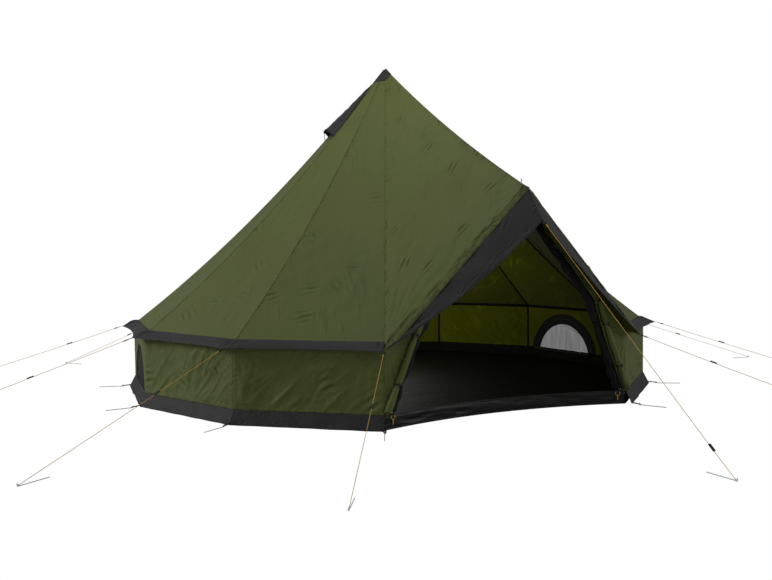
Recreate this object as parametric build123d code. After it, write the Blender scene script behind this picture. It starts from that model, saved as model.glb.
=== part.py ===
from build123d import *
import math
import os

# Twelve-cornered teepee tent, millimetres. The origin is on the ground under the centre pole, +Z is up
# and the door faces -Y. Angles in plan are counted from the door axis, positive towards +X.
# Corner radii are measured in the twelve corner planes; a panel's own distance from the axis is less by
# the cosine of half a panel.

# ---- plan ----
panel_count = 11
door_half_angle = 27.07
skirt_reach = 45.0
wall_corner_radius = 1955.0
# ---- heights and the hang of the roof ----
apex_height = 2440.0
eave_height = 480.0
skirt_height = 90.0
ridge_sag = 117.0
head_margin = 200.0
# ---- cloth ----
cloth = 3.0
light_cloth = 2.0
mesh_cloth = 1.0
seam_gap = 0.3
# ---- eave band ----
band_lap = 44.0
band_overhang = 89.0
eave_tip_height = 465.0
band_hollow = 34.0
# ---- door gable and its visor ----
peak_radius = 1880.0
peak_height = 1410.0
front_ridge_sag = 46.0
gable_lip = 25.0
visor_tip_radius = 2040.0
visor_tip_height = 1200.0
visor_belly = 45.0
# ---- door opening ----
gable_strip = 55.0
jamb_foot_inset = 25.0
jamb_knee_height = 700.0
threshold_sag = 150.0
zip_width = 6.0
zip_height = 6.0
# ---- rolled door cloths ----
flap_roll_radius = 22.0
flap_roll_inset = 4.0
mesh_roll_radius = 14.0
mesh_roll_overhang = 6.0
roll_foot_height = 120.0
roll_top_drop = 12.0
roll_bend_radius = 280.0
# ---- door frame tube ----
frame_tube_radius = 9.5
frame_tube_wall = 1.2
frame_setback = 27.0
frame_corner_inset = 22.0
frame_bend_radius = 70.0
frame_hub_half = 14.0
peak_pin_radius = 4.0
peak_pin_clearance = 1.0
peak_pin_stand = 22.0
# ---- centre pole ----
pole_radius = 16.0
pole_wall = 1.2
pole_sections = 3
spigot_length = 70.0
foot_radius = 28.0
foot_height = 14.0
crown_radius = 30.0
crown_height = 26.0
crown_stem = 40.0
# ---- peak cap and vents ----
roof_top_radius = 60.0
cap_inner_radius = 12.0
cap_radius = 95.0
vent_corner_index = 3
vent_top_radius = 102.0
vent_foot_radius = 470.0
vent_lip_radius = 484.0
vent_lift = 92.0
vent_hole_top = 190.0
vent_hole_foot = 425.0
vent_hole_seam = 12.0
vent_hole_depth = 80.0
vent_hole_top_depth = 32.0
strut_radius = 2.5
strut_setback = 7.5
strut_head_room = 12.0
strut_bar_radius = 3.5
strut_bar_length = 14.0
# ---- half-moon windows ----
window_panel_index = 2
window_radius = 324.0
window_sill = 102.0
window_centre_height = 13.0
window_border_width = 85.0
window_roll_radius = 20.0
window_roll_length = 740.0
# ---- zip sliders ----
slider_wall = 4.0
window_slider_length = 22.0
window_slider_rest = 72.0
door_slider_length = 24.0
door_slider_top = 5.0
door_slider_grip = 5.0
door_slider_parking = 18.0
door_slider_play = 1.2
pull_ring_radius = 15.0
pull_ring_wire = 2.2
pull_tail_radius = 3.5
pull_tail_length = 30.0
pull_eye = [5.0, 4.0, 6.0]
# ---- guy lines, rings, runners and pegs ----
line_radius = 1.5
tab_length = 26.0
tab_width = 18.0
ring_radius = 11.0
ring_wire = 1.8
knot_radius = 4.0
knot_length = 12.0
runner_length = 40.0
runner_width = 14.0
runner_thickness = 8.0
runner_rounding = 2.5
runner_clearance = 0.4
peg_wire = 2.5
peg_bend_radius = 4.0
peg_length = 180.0
peg_head = 16.0
front_peg_radius = 3470.0
peg_radii = [3500.0, 3500.0, 3500.0, 3200.0, 3200.0, 3100.0,
             3100.0, 3200.0, 3500.0, 3500.0, 3500.0, 3500.0]
peg_turns = [0.0, 0.0, 0.0, 0.0, 0.0, 0.0, 0.0, 0.0, 0.0, 0.0, 0.0, -2.06]
runner_places = [0.30, 0.30, 0.45, 0.35, 0.35, 0.35, 0.35, 0.35, 0.24, 0.42, 0.36, 0.40]
front_runner_place = 0.90
# ---- corner webbing ----
loop_width = 20.0
loop_length = 62.0
loop_peg_reach = 50.0

# ---- sizes that follow ----
panel_angle = (360.0 - 2.0 * door_half_angle) / panel_count
half_panel = math.radians(panel_angle / 2.0)
corner_angles = [door_half_angle + panel_angle * i for i in range(panel_count + 1)]
drop = cloth * math.sqrt(2.0)
roof_foot_height = eave_height + seam_gap + drop
band_top_radius = wall_corner_radius - band_lap
eave_tip_radius = wall_corner_radius + band_overhang
corner_x = wall_corner_radius * math.sin(math.radians(door_half_angle))
corner_y = -wall_corner_radius * math.cos(math.radians(door_half_angle))
base_corner_radius = wall_corner_radius + skirt_reach
gable_ridge_radius = peak_radius - gable_lip
room_height = apex_height + head_margin
room_radius = peak_radius * 2.0


def at(angle, radius, height=0.0):
    """The point at an angle in plan from the door axis."""
    turn = math.radians(angle)
    return Vector(radius * math.sin(turn), -radius * math.cos(turn), height)


def facing(angle):
    """Turns the local X axis to point outwards at an angle from the door axis."""
    return Rot(0, 0, angle - 90.0)


def drawn(points):
    """A flat face through points given as (x, z) in the local XZ plane."""
    return make_face(Polyline([(x, 0, z) for x, z in points], close=True))


def mirrored(shape):
    return mirror(shape, about=Plane.YZ)


def solids_of(*shapes):
    """The separate solids of one node."""
    return Compound([solid for shape in shapes for solid in shape.solids()])


# ---- hanging curves of the ridges ----
class Ridge:
    """A ridge that hangs in a parabola from the apex to its foot."""

    def __init__(self, run, foot, sag):
        self.run = run
        self.foot = foot
        self.sag = sag

    def height(self, radius):
        share = radius / self.run
        return apex_height + (self.foot - apex_height) * share - 4.0 * self.sag * share * (1.0 - share)

    def slope(self, radius):
        hang = 4.0 * self.sag * (1.0 - 2.0 * radius / self.run)
        return (self.foot - apex_height - hang) / self.run

    def edge(self, start, end, lift=0.0, scale=1.0):
        middle = (start + end) / 2.0
        knee = self.height(start) + self.slope(start) * (end - start) / 2.0
        points = [(start, self.height(start)), (middle, knee), (end, self.height(end))]
        return Bezier([(radius * scale, 0, height + lift) for radius, height in points])

    def section(self, start, end, lift=0.0, depth=drop, scale=1.0):
        """The cut face of cloth that hangs under the ridge line."""
        top = self.edge(start, end, lift, scale)
        under = self.edge(start, end, lift - depth, scale)
        return make_face([top, under, Line(top @ 0, under @ 0), Line(top @ 1, under @ 1)])


side_ridge = Ridge(wall_corner_radius, roof_foot_height, ridge_sag)
front_ridge = Ridge(peak_radius, peak_height, front_ridge_sag)


# ---- sectors between corners ----
def wedge(gap):
    """The space between two neighbouring corner planes, along local X."""
    near = roof_top_radius * 0.1
    far = room_radius
    spread = math.tan(half_panel)
    near_side, far_side = near * spread - gap, far * spread - gap
    points = [(near, -near_side, 0), (far, -far_side, 0), (far, far_side, 0), (near, near_side, 0)]
    return extrude(make_face(Polyline(points, close=True)), room_height)


def gore(section, gap=seam_gap / 2.0):
    """A strip of one panel with the given section, mitred at both corner planes."""
    reach = room_radius * math.tan(half_panel)
    strip = extrude(section, reach, dir=(0, 1, 0), both=True)
    return (strip & wedge(gap)).solid()


def around(strip, indexes):
    """Copies of a strip in the panels with the given indexes."""
    return [facing(corner_angles[i] + panel_angle / 2.0) * strip for i in indexes]


def door_sector(height=room_height):
    """The space between the two door corner planes, clear of the neighbouring seams."""
    half = door_half_angle - math.degrees(seam_gap / 2.0 / wall_corner_radius)
    side = at(half, room_radius)
    points = [(0, 0), (side.X, side.Y), (-side.X, side.Y)]
    return extrude(make_face(Polyline(points, close=True)), height)


def plate_section(outer_radius, depth, low, high):
    outer = outer_radius * math.cos(half_panel)
    return drawn([(outer, low), (outer, high), (outer - depth, high), (outer - depth, low)])


all_panels = range(panel_count)
window_panels = [window_panel_index, panel_count - 1 - window_panel_index]
wall_apothem = wall_corner_radius * math.cos(half_panel)
tub_radius = wall_corner_radius - (cloth + seam_gap) / math.cos(half_panel)


# ---- groundsheet, its tub wall and the door threshold ----
def threshold_arc():
    """Half chord, radius and centre of the arc that the threshold follows in plan."""
    end = at(door_half_angle, tub_radius)
    radius = (end.X ** 2 + threshold_sag ** 2) / (2.0 * threshold_sag)
    return end.X, radius, end.Y + threshold_sag - radius


def make_groundsheet():
    corners = [at(angle, tub_radius) for angle in corner_angles]
    middle = Vector(0, corners[0].Y + threshold_sag, 0)
    outline = [Line(a, b) for a, b in zip(corners, corners[1:])]
    outline.append(ThreePointArc(corners[-1], middle, corners[0]))
    return extrude(make_face(outline), light_cloth)


def make_tub_wall():
    section = plate_section(tub_radius, light_cloth, light_cloth + seam_gap, skirt_height)
    return solids_of(*around(gore(section), all_panels))


def arc_bar(inner, outer, low, high, half_angle):
    """A curved bar about the threshold's centre, half_angle each way from the door axis."""
    _, _, centre_y = threshold_arc()
    section = drawn([(inner, low), (outer, low), (outer, high), (inner, high)])
    bar = revolve(section, Axis.Z, 2.0 * half_angle)
    return Pos(0, centre_y, 0) * Rot(0, 0, 90.0 - half_angle) * bar


def make_threshold():
    half_chord, radius, _ = threshold_arc()
    half_angle = math.degrees(math.asin(half_chord / radius))
    low = light_cloth + seam_gap
    rib_low = skirt_height - zip_height
    wall = arc_bar(radius, radius + light_cloth, low, rib_low, half_angle)
    middle = radius + light_cloth / 2.0
    rib = arc_bar(middle - zip_width / 2.0, middle + zip_width / 2.0, rib_low, skirt_height, half_angle)
    return (wall + rib) & door_sector()


# ---- side walls, windows and the mud skirt ----
def window_segment(radius, sill):
    """The half-moon above the sill, as a long bar along local X."""
    reach = room_radius
    bar = Pos(reach / 2.0, 0, window_centre_height) * Rot(0, 90, 0) * Cylinder(radius, reach)
    above = Pos(reach / 2.0, 0, sill + radius) * Box(reach, 2.0 * radius, 2.0 * radius)
    return bar & above


def make_walls():
    plain = gore(plate_section(wall_corner_radius, cloth, skirt_height + seam_gap, eave_height))
    plain_indexes = [i for i in all_panels if i not in window_panels]
    pierced = (plain - window_segment(window_radius, window_sill)).solid()
    return solids_of(*around(plain, plain_indexes)), around(pierced, window_panels)


def make_window_screen():
    outer = wall_apothem - (cloth - mesh_cloth) / 2.0
    place = Pos(outer - mesh_cloth / 2.0, 0, eave_height / 2.0)
    sheet = place * Box(mesh_cloth, eave_height * 2.0, eave_height)
    return sheet & window_segment(window_radius - seam_gap, window_sill + seam_gap)


def make_window_border():
    """Border cloth on the inner face with the zip as a rib along the middle of its arch."""
    outer = wall_apothem - cloth - seam_gap
    sill = skirt_height + seam_gap * 3.0
    ring = window_segment(window_radius + window_border_width, sill)
    ring -= window_segment(window_radius, window_sill)
    place = Pos(outer - mesh_cloth, 0, room_height / 2.0)
    cloth_block = place * Box(2.0 * mesh_cloth, room_radius, room_height)
    rib_block = Pos(outer - 2.0 * mesh_cloth - zip_height / 4.0, 0, room_height / 2.0)
    rib_block *= Box(zip_height / 2.0, room_radius, room_height)
    middle = window_radius + window_border_width / 2.0
    low = window_sill
    rib = window_segment(middle + zip_width / 2.0, low)
    rib -= window_segment(middle - zip_width / 2.0, low - 1.0)
    return (ring & cloth_block) + (rib & rib_block)


def make_window_slider():
    """The slider that straddles the window zip, standing over the arch's centre."""
    face = wall_apothem - cloth - seam_gap - 2.0 * mesh_cloth - seam_gap
    depth = zip_height / 2.0 + slider_wall
    middle = window_radius + window_border_width / 2.0
    width = zip_width + 2.0 * slider_wall
    place = Pos(face - depth / 2.0, 0, window_centre_height + middle)
    block = place * Box(depth, window_slider_length, width)
    slot_depth = zip_height / 2.0
    slot_half = zip_width / 2.0 + seam_gap
    slot = window_segment(middle + slot_half, 0) - window_segment(middle - slot_half, -1)
    place = Pos(face - slot_depth / 2.0 + 1.0, 0, room_height / 2.0)
    slot &= place * Box(slot_depth + 2.0, room_radius, room_height)
    return block - slot


def make_window_roll():
    """The rolled window cover, tied under the sill against the tub wall."""
    tub_face = tub_radius * math.cos(half_panel) - light_cloth
    height = window_sill - window_roll_radius - seam_gap
    place = Pos(tub_face - seam_gap - window_roll_radius, 0, height) * Rot(90, 0, 0)
    return place * Cylinder(window_roll_radius, window_roll_length)


def make_skirt():
    scale = math.cos(half_panel)
    top = wall_corner_radius * scale
    foot = base_corner_radius * scale
    outer = [(top, skirt_height), (foot, 0)]
    section = drawn(outer + [(radius - light_cloth, height) for radius, height in reversed(outer)])
    return solids_of(*around(gore(section), all_panels))


# ---- roof ----
def vent_hole(clearance):
    """One side of a vent's mesh opening, beside the ridge at the local -Y corner plane."""
    spread = math.tan(half_panel)
    near = vent_hole_seam + clearance
    top = vent_hole_top + clearance
    foot = vent_hole_foot - clearance
    points = [(top, near - top * spread), (foot, near - foot * spread),
              (foot, vent_hole_depth - clearance - foot * spread),
              (top, vent_hole_top_depth - clearance - top * spread)]
    return extrude(make_face(Polyline([(x, y, 0) for x, y in points], close=True)), room_height)


def local_mirror(shape):
    return mirror(shape, about=Plane.XZ)


vent_panels = [vent_corner_index, panel_count - vent_corner_index]


def make_roof():
    """Side gores; the four beside the vents have a mesh opening next to the vented ridge."""
    full = gore(side_ridge.section(roof_top_radius, wall_corner_radius, scale=math.cos(half_panel)))
    after = (full - vent_hole(0.0)).solid()
    before = local_mirror(after)
    vented = {corner: after for corner in vent_panels}
    vented.update({corner - 1: before for corner in vent_panels})
    gores = [around(vented.get(i, full), [i])[0] for i in all_panels]
    return solids_of(*gores)


def make_vent_screens():
    lift = -(drop - mesh_cloth) / 2.0
    sheet = side_ridge.section(roof_top_radius, wall_corner_radius, lift, mesh_cloth, math.cos(half_panel))
    after = gore(sheet) & vent_hole(seam_gap)
    before = local_mirror(after)
    return around(after, vent_panels) + around(before, [corner - 1 for corner in vent_panels])


def front_half(outer_section, ridge_section, gap=seam_gap / 2.0):
    """Cloth stretched from the front ridge to the right door corner plane."""
    inner = Pos(gap, 0, 0) * facing(0.0) * ridge_section
    shift = at(door_half_angle - 90.0, gap)
    outer = Pos(shift.X, shift.Y, 0) * facing(door_half_angle) * outer_section
    return loft([inner.face(), outer.face()], ruled=True)


def tip_section():
    """The corner edge of the door roof beyond the wall, out to the eave tip."""
    top = [(wall_corner_radius, roof_foot_height), (eave_tip_radius, eave_tip_height + drop)]
    return drawn(top + [(radius, height - drop) for radius, height in reversed(top)])


def make_door_roof():
    main = front_half(side_ridge.section(roof_top_radius, wall_corner_radius),
                      front_ridge.section(roof_top_radius, gable_ridge_radius))
    lip_top = [(gable_ridge_radius, front_ridge.height(gable_ridge_radius)), (peak_radius, peak_height)]
    lip_section = drawn(lip_top + [(radius, height - drop) for radius, height in reversed(lip_top)])
    lip = front_half(tip_section(), lip_section)
    hole_radius = peak_pin_radius + peak_pin_clearance
    pin_hole = Pos(0, -pin_radius_from_axis, peak_height) * Cylinder(hole_radius, peak_height / 2.0)
    half = (main + lip) - pin_hole
    return solids_of(half, mirrored(half))


def make_eave_band():
    scale = math.cos(half_panel)
    lift = side_ridge.height(band_top_radius) + 2.0 * seam_gap
    tip = eave_tip_radius * scale
    under = [(band_top_radius * scale, lift), (tip, eave_tip_height)]
    section = drawn(under + [(radius, height + light_cloth) for radius, height in reversed(under)])
    half_chord = eave_tip_radius * math.sin(half_panel)
    radius = (half_chord ** 2 + band_hollow ** 2) / (2.0 * band_hollow)
    hollow = Pos(tip - band_hollow + radius, 0, eave_height) * Cylinder(radius, eave_height)
    return solids_of(*around((gore(section) - hollow).solid(), all_panels))


def make_visor():
    """Two stiff cloths that hang outwards from the door gable and meet at the pulled-out tip."""
    stand = seam_gap
    peak = Vector(0, -peak_radius - stand, peak_height)
    corner = at(door_half_angle, eave_tip_radius, eave_tip_height + drop) + Vector(0, -stand, 0)
    tip = Vector(0, -visor_tip_radius, visor_tip_height)
    outward = (tip - peak).cross(corner - peak).normalized()
    edge = (tip - corner).normalized()
    across = outward.cross(edge).normalized()
    if across.Z > 0:
        across = -across
    belly = (tip + corner) * 0.5 + across * visor_belly
    outline = [Line(peak, corner), ThreePointArc(corner, belly, tip), Line(tip, peak)]
    if outward.Y > 0:
        outward = -outward
    sheet = extrude(make_face(outline), light_cloth, dir=outward)
    place = Pos(room_radius / 2.0 + seam_gap / 2.0, 0, room_height / 2.0)
    right_side = place * Box(room_radius, room_radius * 3.0, room_height)
    half = sheet & right_side & door_sector()
    return solids_of(half, mirrored(half))


def make_peak_cap():
    """A dark cap sewn over the roof's top, with a button over the pole."""
    scale = math.cos(half_panel)
    lift = seam_gap + drop
    side = gore(side_ridge.section(cap_inner_radius, cap_radius, lift, scale=scale), 0.0)
    front = front_half(side_ridge.section(cap_inner_radius, cap_radius, lift),
                       front_ridge.section(cap_inner_radius, cap_radius, lift), 0.0)
    button_top = apex_height + lift
    button_low = side_ridge.height(cap_inner_radius)
    button = Cylinder(cap_inner_radius + cloth, button_top - button_low)
    button = Pos(0, 0, (button_top + button_low) / 2.0) * button
    cap = button + around(side, all_panels) + [front, mirrored(front)]
    return cap.solid()


# ---- vent hoods with their props ----
def ridge_point(index, radius, lift=0.0):
    return at(corner_angles[index], radius, side_ridge.height(radius) + lift)


def make_vent_hood():
    """A raised pleat over the vented ridge: two cloths from the cap to a propped lip."""
    stand = seam_gap * 2.0
    top = ridge_point(vent_corner_index, vent_top_radius, stand)
    lip = ridge_point(vent_corner_index, vent_lip_radius, vent_lift)
    sides = []
    for neighbour in (vent_corner_index - 1, vent_corner_index + 1):
        foot = ridge_point(neighbour, vent_foot_radius, stand)
        sides.append(extrude(make_face(Polyline([top, lip, foot], close=True)), drop, dir=(0, 0, 1)))
    hood = sides[0] + sides[1]
    return hood.solid()


def make_vent_strut():
    """The prop that stands on the ridge seam and holds the lip up. It turns on a bar at its head."""
    radius = vent_lip_radius - strut_setback
    low = side_ridge.height(radius - strut_radius) + seam_gap
    share = (radius - strut_radius - vent_top_radius) / (vent_lip_radius - vent_top_radius)
    hood_low = side_ridge.height(vent_top_radius) * (1.0 - share)
    hood_low += (side_ridge.height(vent_lip_radius) + vent_lift) * share
    high = hood_low - strut_head_room
    angle = corner_angles[vent_corner_index]
    prop = Pos(*at(angle, radius, (low + high) / 2.0)) * Cylinder(strut_radius, high - low)
    bar = Rot(90, 0, 0) * Cylinder(strut_bar_radius, strut_bar_length)
    bar = Pos(*at(angle, radius, high)) * facing(angle) * bar
    return (prop + bar).solid()


# ---- door gable wall, its tube frame and the rolled cloths ----
gable_top_height = front_ridge.height(gable_ridge_radius) - drop - seam_gap
gable_pitch = (gable_top_height - eave_height) / corner_x
gable_lean = (gable_ridge_radius + corner_y) / (gable_top_height - eave_height)


def gable_y(height):
    """The outer face of the door wall: upright below the eave, leaning out above it."""
    return corner_y - gable_lean * max(0.0, height - eave_height)


def gable_edge(x):
    return gable_top_height - gable_pitch * x


strip_depth = gable_strip * math.hypot(1.0, gable_pitch)
jamb_knee_x = (gable_top_height - strip_depth - jamb_knee_height) / gable_pitch
jamb_foot_height = skirt_height + seam_gap
jamb_foot_x = corner_x - jamb_foot_inset


def jamb_x(height):
    share = (height - jamb_foot_height) / (jamb_knee_height - jamb_foot_height)
    return jamb_foot_x + (jamb_knee_x - jamb_foot_x) * share


def make_door_walls():
    inner = seam_gap / 2.0
    upper = [(corner_x, eave_height), (inner, gable_edge(inner)), (inner, gable_edge(inner) - strip_depth),
             (jamb_knee_x, jamb_knee_height), (jamb_x(eave_height), eave_height)]
    lower = [(corner_x, eave_height), (jamb_x(eave_height), eave_height),
             (jamb_foot_x, jamb_foot_height), (corner_x, jamb_foot_height)]
    half = None
    for outline in (upper, lower):
        face = make_face(Polyline([(x, gable_y(z), z) for x, z in outline], close=True))
        sheet = extrude(face, cloth, dir=(0, 1, 0))
        half = sheet if half is None else half + sheet
    half = half & door_sector()
    return solids_of(half, mirrored(half))


def rolled_cloth(radius, side_shift, setback):
    """A roll tied along the jamb; setback is from the wall's outer face to the roll's middle."""
    top = jamb_knee_height - roll_top_drop
    heights = [roll_foot_height, eave_height, top]
    path = [Vector(jamb_x(z) + side_shift, gable_y(z) + setback, z) for z in heights]
    line = FilletPolyline(path, radius=roll_bend_radius)
    section = Plane(origin=line @ 0, z_dir=line % 0) * Circle(radius)
    half = sweep(section, line)
    return solids_of(half, mirrored(half))


def make_flap_rolls():
    setback = -flap_roll_radius - 2.0 * seam_gap
    return rolled_cloth(flap_roll_radius, flap_roll_radius + flap_roll_inset, setback)


def make_mesh_rolls():
    """The mesh roll lies against the inner edge of the jamb and overhangs the doorway a little."""
    reach = mesh_roll_radius + 2.0 * seam_gap
    setback = cloth + math.sqrt(reach ** 2 - mesh_roll_overhang ** 2)
    return rolled_cloth(mesh_roll_radius, -mesh_roll_overhang, setback)


frame_x = corner_x - frame_corner_inset
frame_drop = (frame_tube_radius + peak_pin_clearance) * math.hypot(1.0, gable_pitch)
pin_height = gable_edge(0.0) - frame_drop
pin_radius_from_axis = -(gable_y(pin_height) + frame_setback)


def make_door_frame():
    """Two bent tubes that stand in the door corners and meet in a hub under the peak."""
    foot = light_cloth + seam_gap
    knee_height = gable_edge(frame_x) - frame_drop
    hub_height = gable_edge(frame_hub_half) - frame_drop
    leg_y = gable_y(0.0) + frame_setback
    path = [Vector(frame_x, leg_y, foot), Vector(frame_x, leg_y, knee_height),
            Vector(frame_hub_half, gable_y(hub_height) + frame_setback, hub_height)]
    line = FilletPolyline(path, radius=frame_bend_radius)
    place = Plane(origin=line @ 0, z_dir=line % 0)
    outer = sweep(place * Circle(frame_tube_radius), line)
    bore = sweep(place * Circle(frame_tube_radius - frame_tube_wall), line)
    place = Pos(room_radius / 2.0 + frame_hub_half, 0, room_height / 2.0)
    right = place * Box(room_radius, room_radius * 2.0, room_height)
    tube = (outer - bore) & right
    hub_y = -pin_radius_from_axis
    hub_size = 2.0 * (frame_hub_half - seam_gap)
    hub_low = pin_height - frame_hub_half * gable_pitch - frame_tube_radius
    hub_top = pin_height - seam_gap
    hub = Box(hub_size, 2.0 * frame_tube_radius, hub_top - hub_low)
    hub = Pos(0, hub_y, (hub_low + hub_top) / 2.0) * hub
    pin_top = front_ridge.height(pin_radius_from_axis) + peak_pin_stand
    pin = Pos(0, hub_y, (hub_low + pin_top) / 2.0) * Cylinder(peak_pin_radius, pin_top - hub_low)
    return solids_of(tube, mirrored(tube), hub + pin)


# ---- centre pole ----
pole_foot_top = light_cloth + seam_gap + foot_height
crown_top = side_ridge.height(crown_radius / math.cos(half_panel)) - seam_gap
crown_foot = crown_top - crown_height
section_length = (crown_foot - pole_foot_top) / pole_sections


def make_pole_section(index):
    """A tube with a narrowed neck that plugs into the next section up."""
    low = pole_foot_top + index * section_length
    high = low + section_length
    tube = Pos(0, 0, (low + high) / 2.0) * Cylinder(pole_radius, section_length)
    bore = Pos(0, 0, (low + high) / 2.0) * Cylinder(pole_radius - pole_wall, section_length)
    shell = tube - bore
    if index == pole_sections - 1:
        return shell
    neck_radius = pole_radius - pole_wall - seam_gap
    neck_low = high - spigot_length / 2.0
    neck_high = high + spigot_length
    neck = Pos(0, 0, (neck_low + neck_high) / 2.0) * Cylinder(neck_radius, neck_high - neck_low)
    collar = Pos(0, 0, (neck_low + high) / 2.0) * Cylinder(pole_radius - pole_wall / 2.0, high - neck_low)
    hollow = Cylinder(neck_radius - pole_wall, neck_high - neck_low + 2.0)
    hollow = Pos(0, 0, (neck_low + neck_high) / 2.0) * hollow
    return shell + ((neck + collar) - hollow)


def plug(base_radius, low, high, stem_low, stem_high):
    """An end cap with a stem inside the tube's bore."""
    stem_radius = pole_radius - pole_wall - seam_gap
    base = Pos(0, 0, (low + high) / 2.0) * Cylinder(base_radius, high - low)
    stem = Pos(0, 0, (stem_low + stem_high) / 2.0) * Cylinder(stem_radius, stem_high - stem_low)
    return base + stem


def make_pole_foot():
    low = light_cloth + seam_gap
    return plug(foot_radius, low, pole_foot_top - seam_gap, low, pole_foot_top + crown_stem)


def make_pole_crown():
    low = crown_foot + seam_gap
    return plug(crown_radius, low, crown_top, crown_foot - crown_stem, crown_top)


# ---- door zip sliders ----
slider_rest_x = jamb_foot_x - door_slider_length / 2.0 - door_slider_parking


def make_door_slider():
    """The slider over the threshold's zip with its cord pull, at the right end of the threshold."""
    _, radius, centre_y = threshold_arc()
    middle = radius + light_cloth / 2.0
    half_angle = math.degrees(door_slider_length / 2.0 / middle)
    side = zip_width / 2.0 + slider_wall
    slot = zip_width / 2.0 + door_slider_play
    top = skirt_height + seam_gap
    low = top - door_slider_grip
    body = arc_bar(middle - side, middle + side, low, top + door_slider_top, half_angle)
    body -= arc_bar(middle - slot, middle + slot, low - slot, top, half_angle * 2.0)
    front = centre_y + middle - side - pull_ring_wire - seam_gap
    eye_width, eye_depth, eye_height = pull_eye
    eye = Pos(0, front + eye_depth / 2.0, low + eye_height / 2.0) * Box(eye_width, eye_depth, eye_height)
    ring_height = low + eye_height / 2.0 - pull_ring_radius
    ring = Pos(0, front, ring_height) * Rot(90, 0, 0) * Torus(pull_ring_radius, pull_ring_wire)
    tail_high = ring_height - pull_ring_radius
    tail = Pos(0, front, tail_high - pull_tail_length / 2.0) * Cylinder(pull_tail_radius, pull_tail_length)
    slider = body + eye + ring + tail
    turn = math.degrees(math.asin(slider_rest_x / middle))
    return Pos(0, centre_y, 0) * Rot(0, 0, -turn) * Pos(0, -centre_y, 0) * slider


# ---- guy lines and what is on them ----
def bent_peg(head_radius, direction):
    """A wire peg that lies on the ground, with its head bent up; direction is from head to point."""
    point = head_radius + direction * peg_length
    path = [(head_radius, 0, peg_head), (head_radius, 0, peg_wire), (point, 0, peg_wire)]
    line = FilletPolyline(path, radius=peg_bend_radius)
    return sweep(Plane(origin=line @ 0, z_dir=line % 0) * Circle(peg_wire), line)


class GuyLine:
    """A straight line from its ring at the cloth's tip down to its peg, which may stand a little aside."""

    def __init__(self, angle, tip_radius, tip_height, peg_radius, runner_place, peg_turn=0.0):
        end = at(angle + peg_turn, peg_radius, knot_radius * 2.0)
        run = end - at(angle, tip_radius)
        self.bearing = math.degrees(math.atan2(run.X, -run.Y))
        swing = abs(math.sin(math.radians(self.bearing - angle)))
        start = at(angle, tip_radius + seam_gap + swing * tab_width / 2.0, tip_height + drop / 2.0)
        self.along = (end - start).normalized()
        self.end = end
        self.head = tab_length + 2.0 * (ring_radius + ring_wire) + knot_length
        self.reach = (end - start).length
        self.runner_place = self.head + runner_place * (self.reach - self.head)
        self.frame = Plane(origin=start, x_dir=Vector(0, 0, 1).cross(self.along), z_dir=self.along)

    def local(self, shape):
        return self.frame.location * shape

    def ring(self):
        centre = tab_length + ring_radius - ring_wire
        tab = Pos(0, 0, tab_length / 2.0) * Box(tab_width, light_cloth, tab_length)
        wire = Pos(0, 0, centre) * Rot(90, 0, 0) * Torus(ring_radius, ring_wire)
        knot_low = centre + ring_radius
        knot = Pos(0, 0, (knot_low + self.head) / 2.0) * Cylinder(knot_radius, self.head - knot_low)
        return self.local(tab + wire + knot)

    def cord(self):
        length = self.reach - self.head
        return self.local(Pos(0, 0, self.head + length / 2.0) * Cylinder(line_radius, length))

    def runner(self):
        block = Box(runner_width, runner_thickness, runner_length)
        body = fillet(block.edges().filter_by(Axis.Z), runner_rounding)
        bore = Cylinder(line_radius + runner_clearance, runner_length)
        return self.local(Pos(0, 0, self.runner_place) * (body - bore))

    def peg(self):
        knot = self.local(Pos(0, 0, self.reach + knot_length / 2.0) * Cylinder(knot_radius, knot_length))
        return Pos(self.end.X, self.end.Y, 0) * facing(self.bearing) * bent_peg(knot_length, -1.0) + knot


def guy_lines():
    lines = []
    for angle, peg_radius, runner_place, turn in zip(corner_angles, peg_radii, runner_places, peg_turns):
        lines.append(GuyLine(angle, eave_tip_radius, eave_tip_height, peg_radius, runner_place, turn))
    front_start = visor_tip_radius + light_cloth
    lines.append(GuyLine(0.0, front_start, visor_tip_height, front_peg_radius, front_runner_place))
    return lines


# ---- corner webbing loops and their pegs ----
skirt_spread = skirt_reach / skirt_height
loop_low = 2.0 * peg_wire + seam_gap
loop_start = base_corner_radius - loop_low * skirt_spread + seam_gap


def make_corner_loop():
    """A flat webbing tab sewn to the skirt's corner, with a hole for the peg's head."""
    middle = loop_low + light_cloth / 2.0
    strap = Pos(loop_start + loop_length / 2.0, 0, middle) * Box(loop_length, loop_width, light_cloth)
    hole = Pos(loop_start + loop_peg_reach, 0, middle) * Cylinder(peg_wire + 2.0 * seam_gap, loop_width)
    return strap - hole


def make_corner_peg():
    return bent_peg(loop_start + loop_peg_reach, 1.0)


# ---- assembly ----
walls, window_walls = make_walls()
door_slider = make_door_slider()
arch_centre = Vector(0, 0, window_centre_height)
slider_turn = Pos(*arch_centre) * Rot(window_slider_rest, 0, 0) * Pos(*(-arch_centre))
window_slider = slider_turn * make_window_slider()
window_screens = around(make_window_screen(), window_panels)
right_hood, right_strut = make_vent_hood(), make_vent_strut()
lines = guy_lines()

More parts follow.
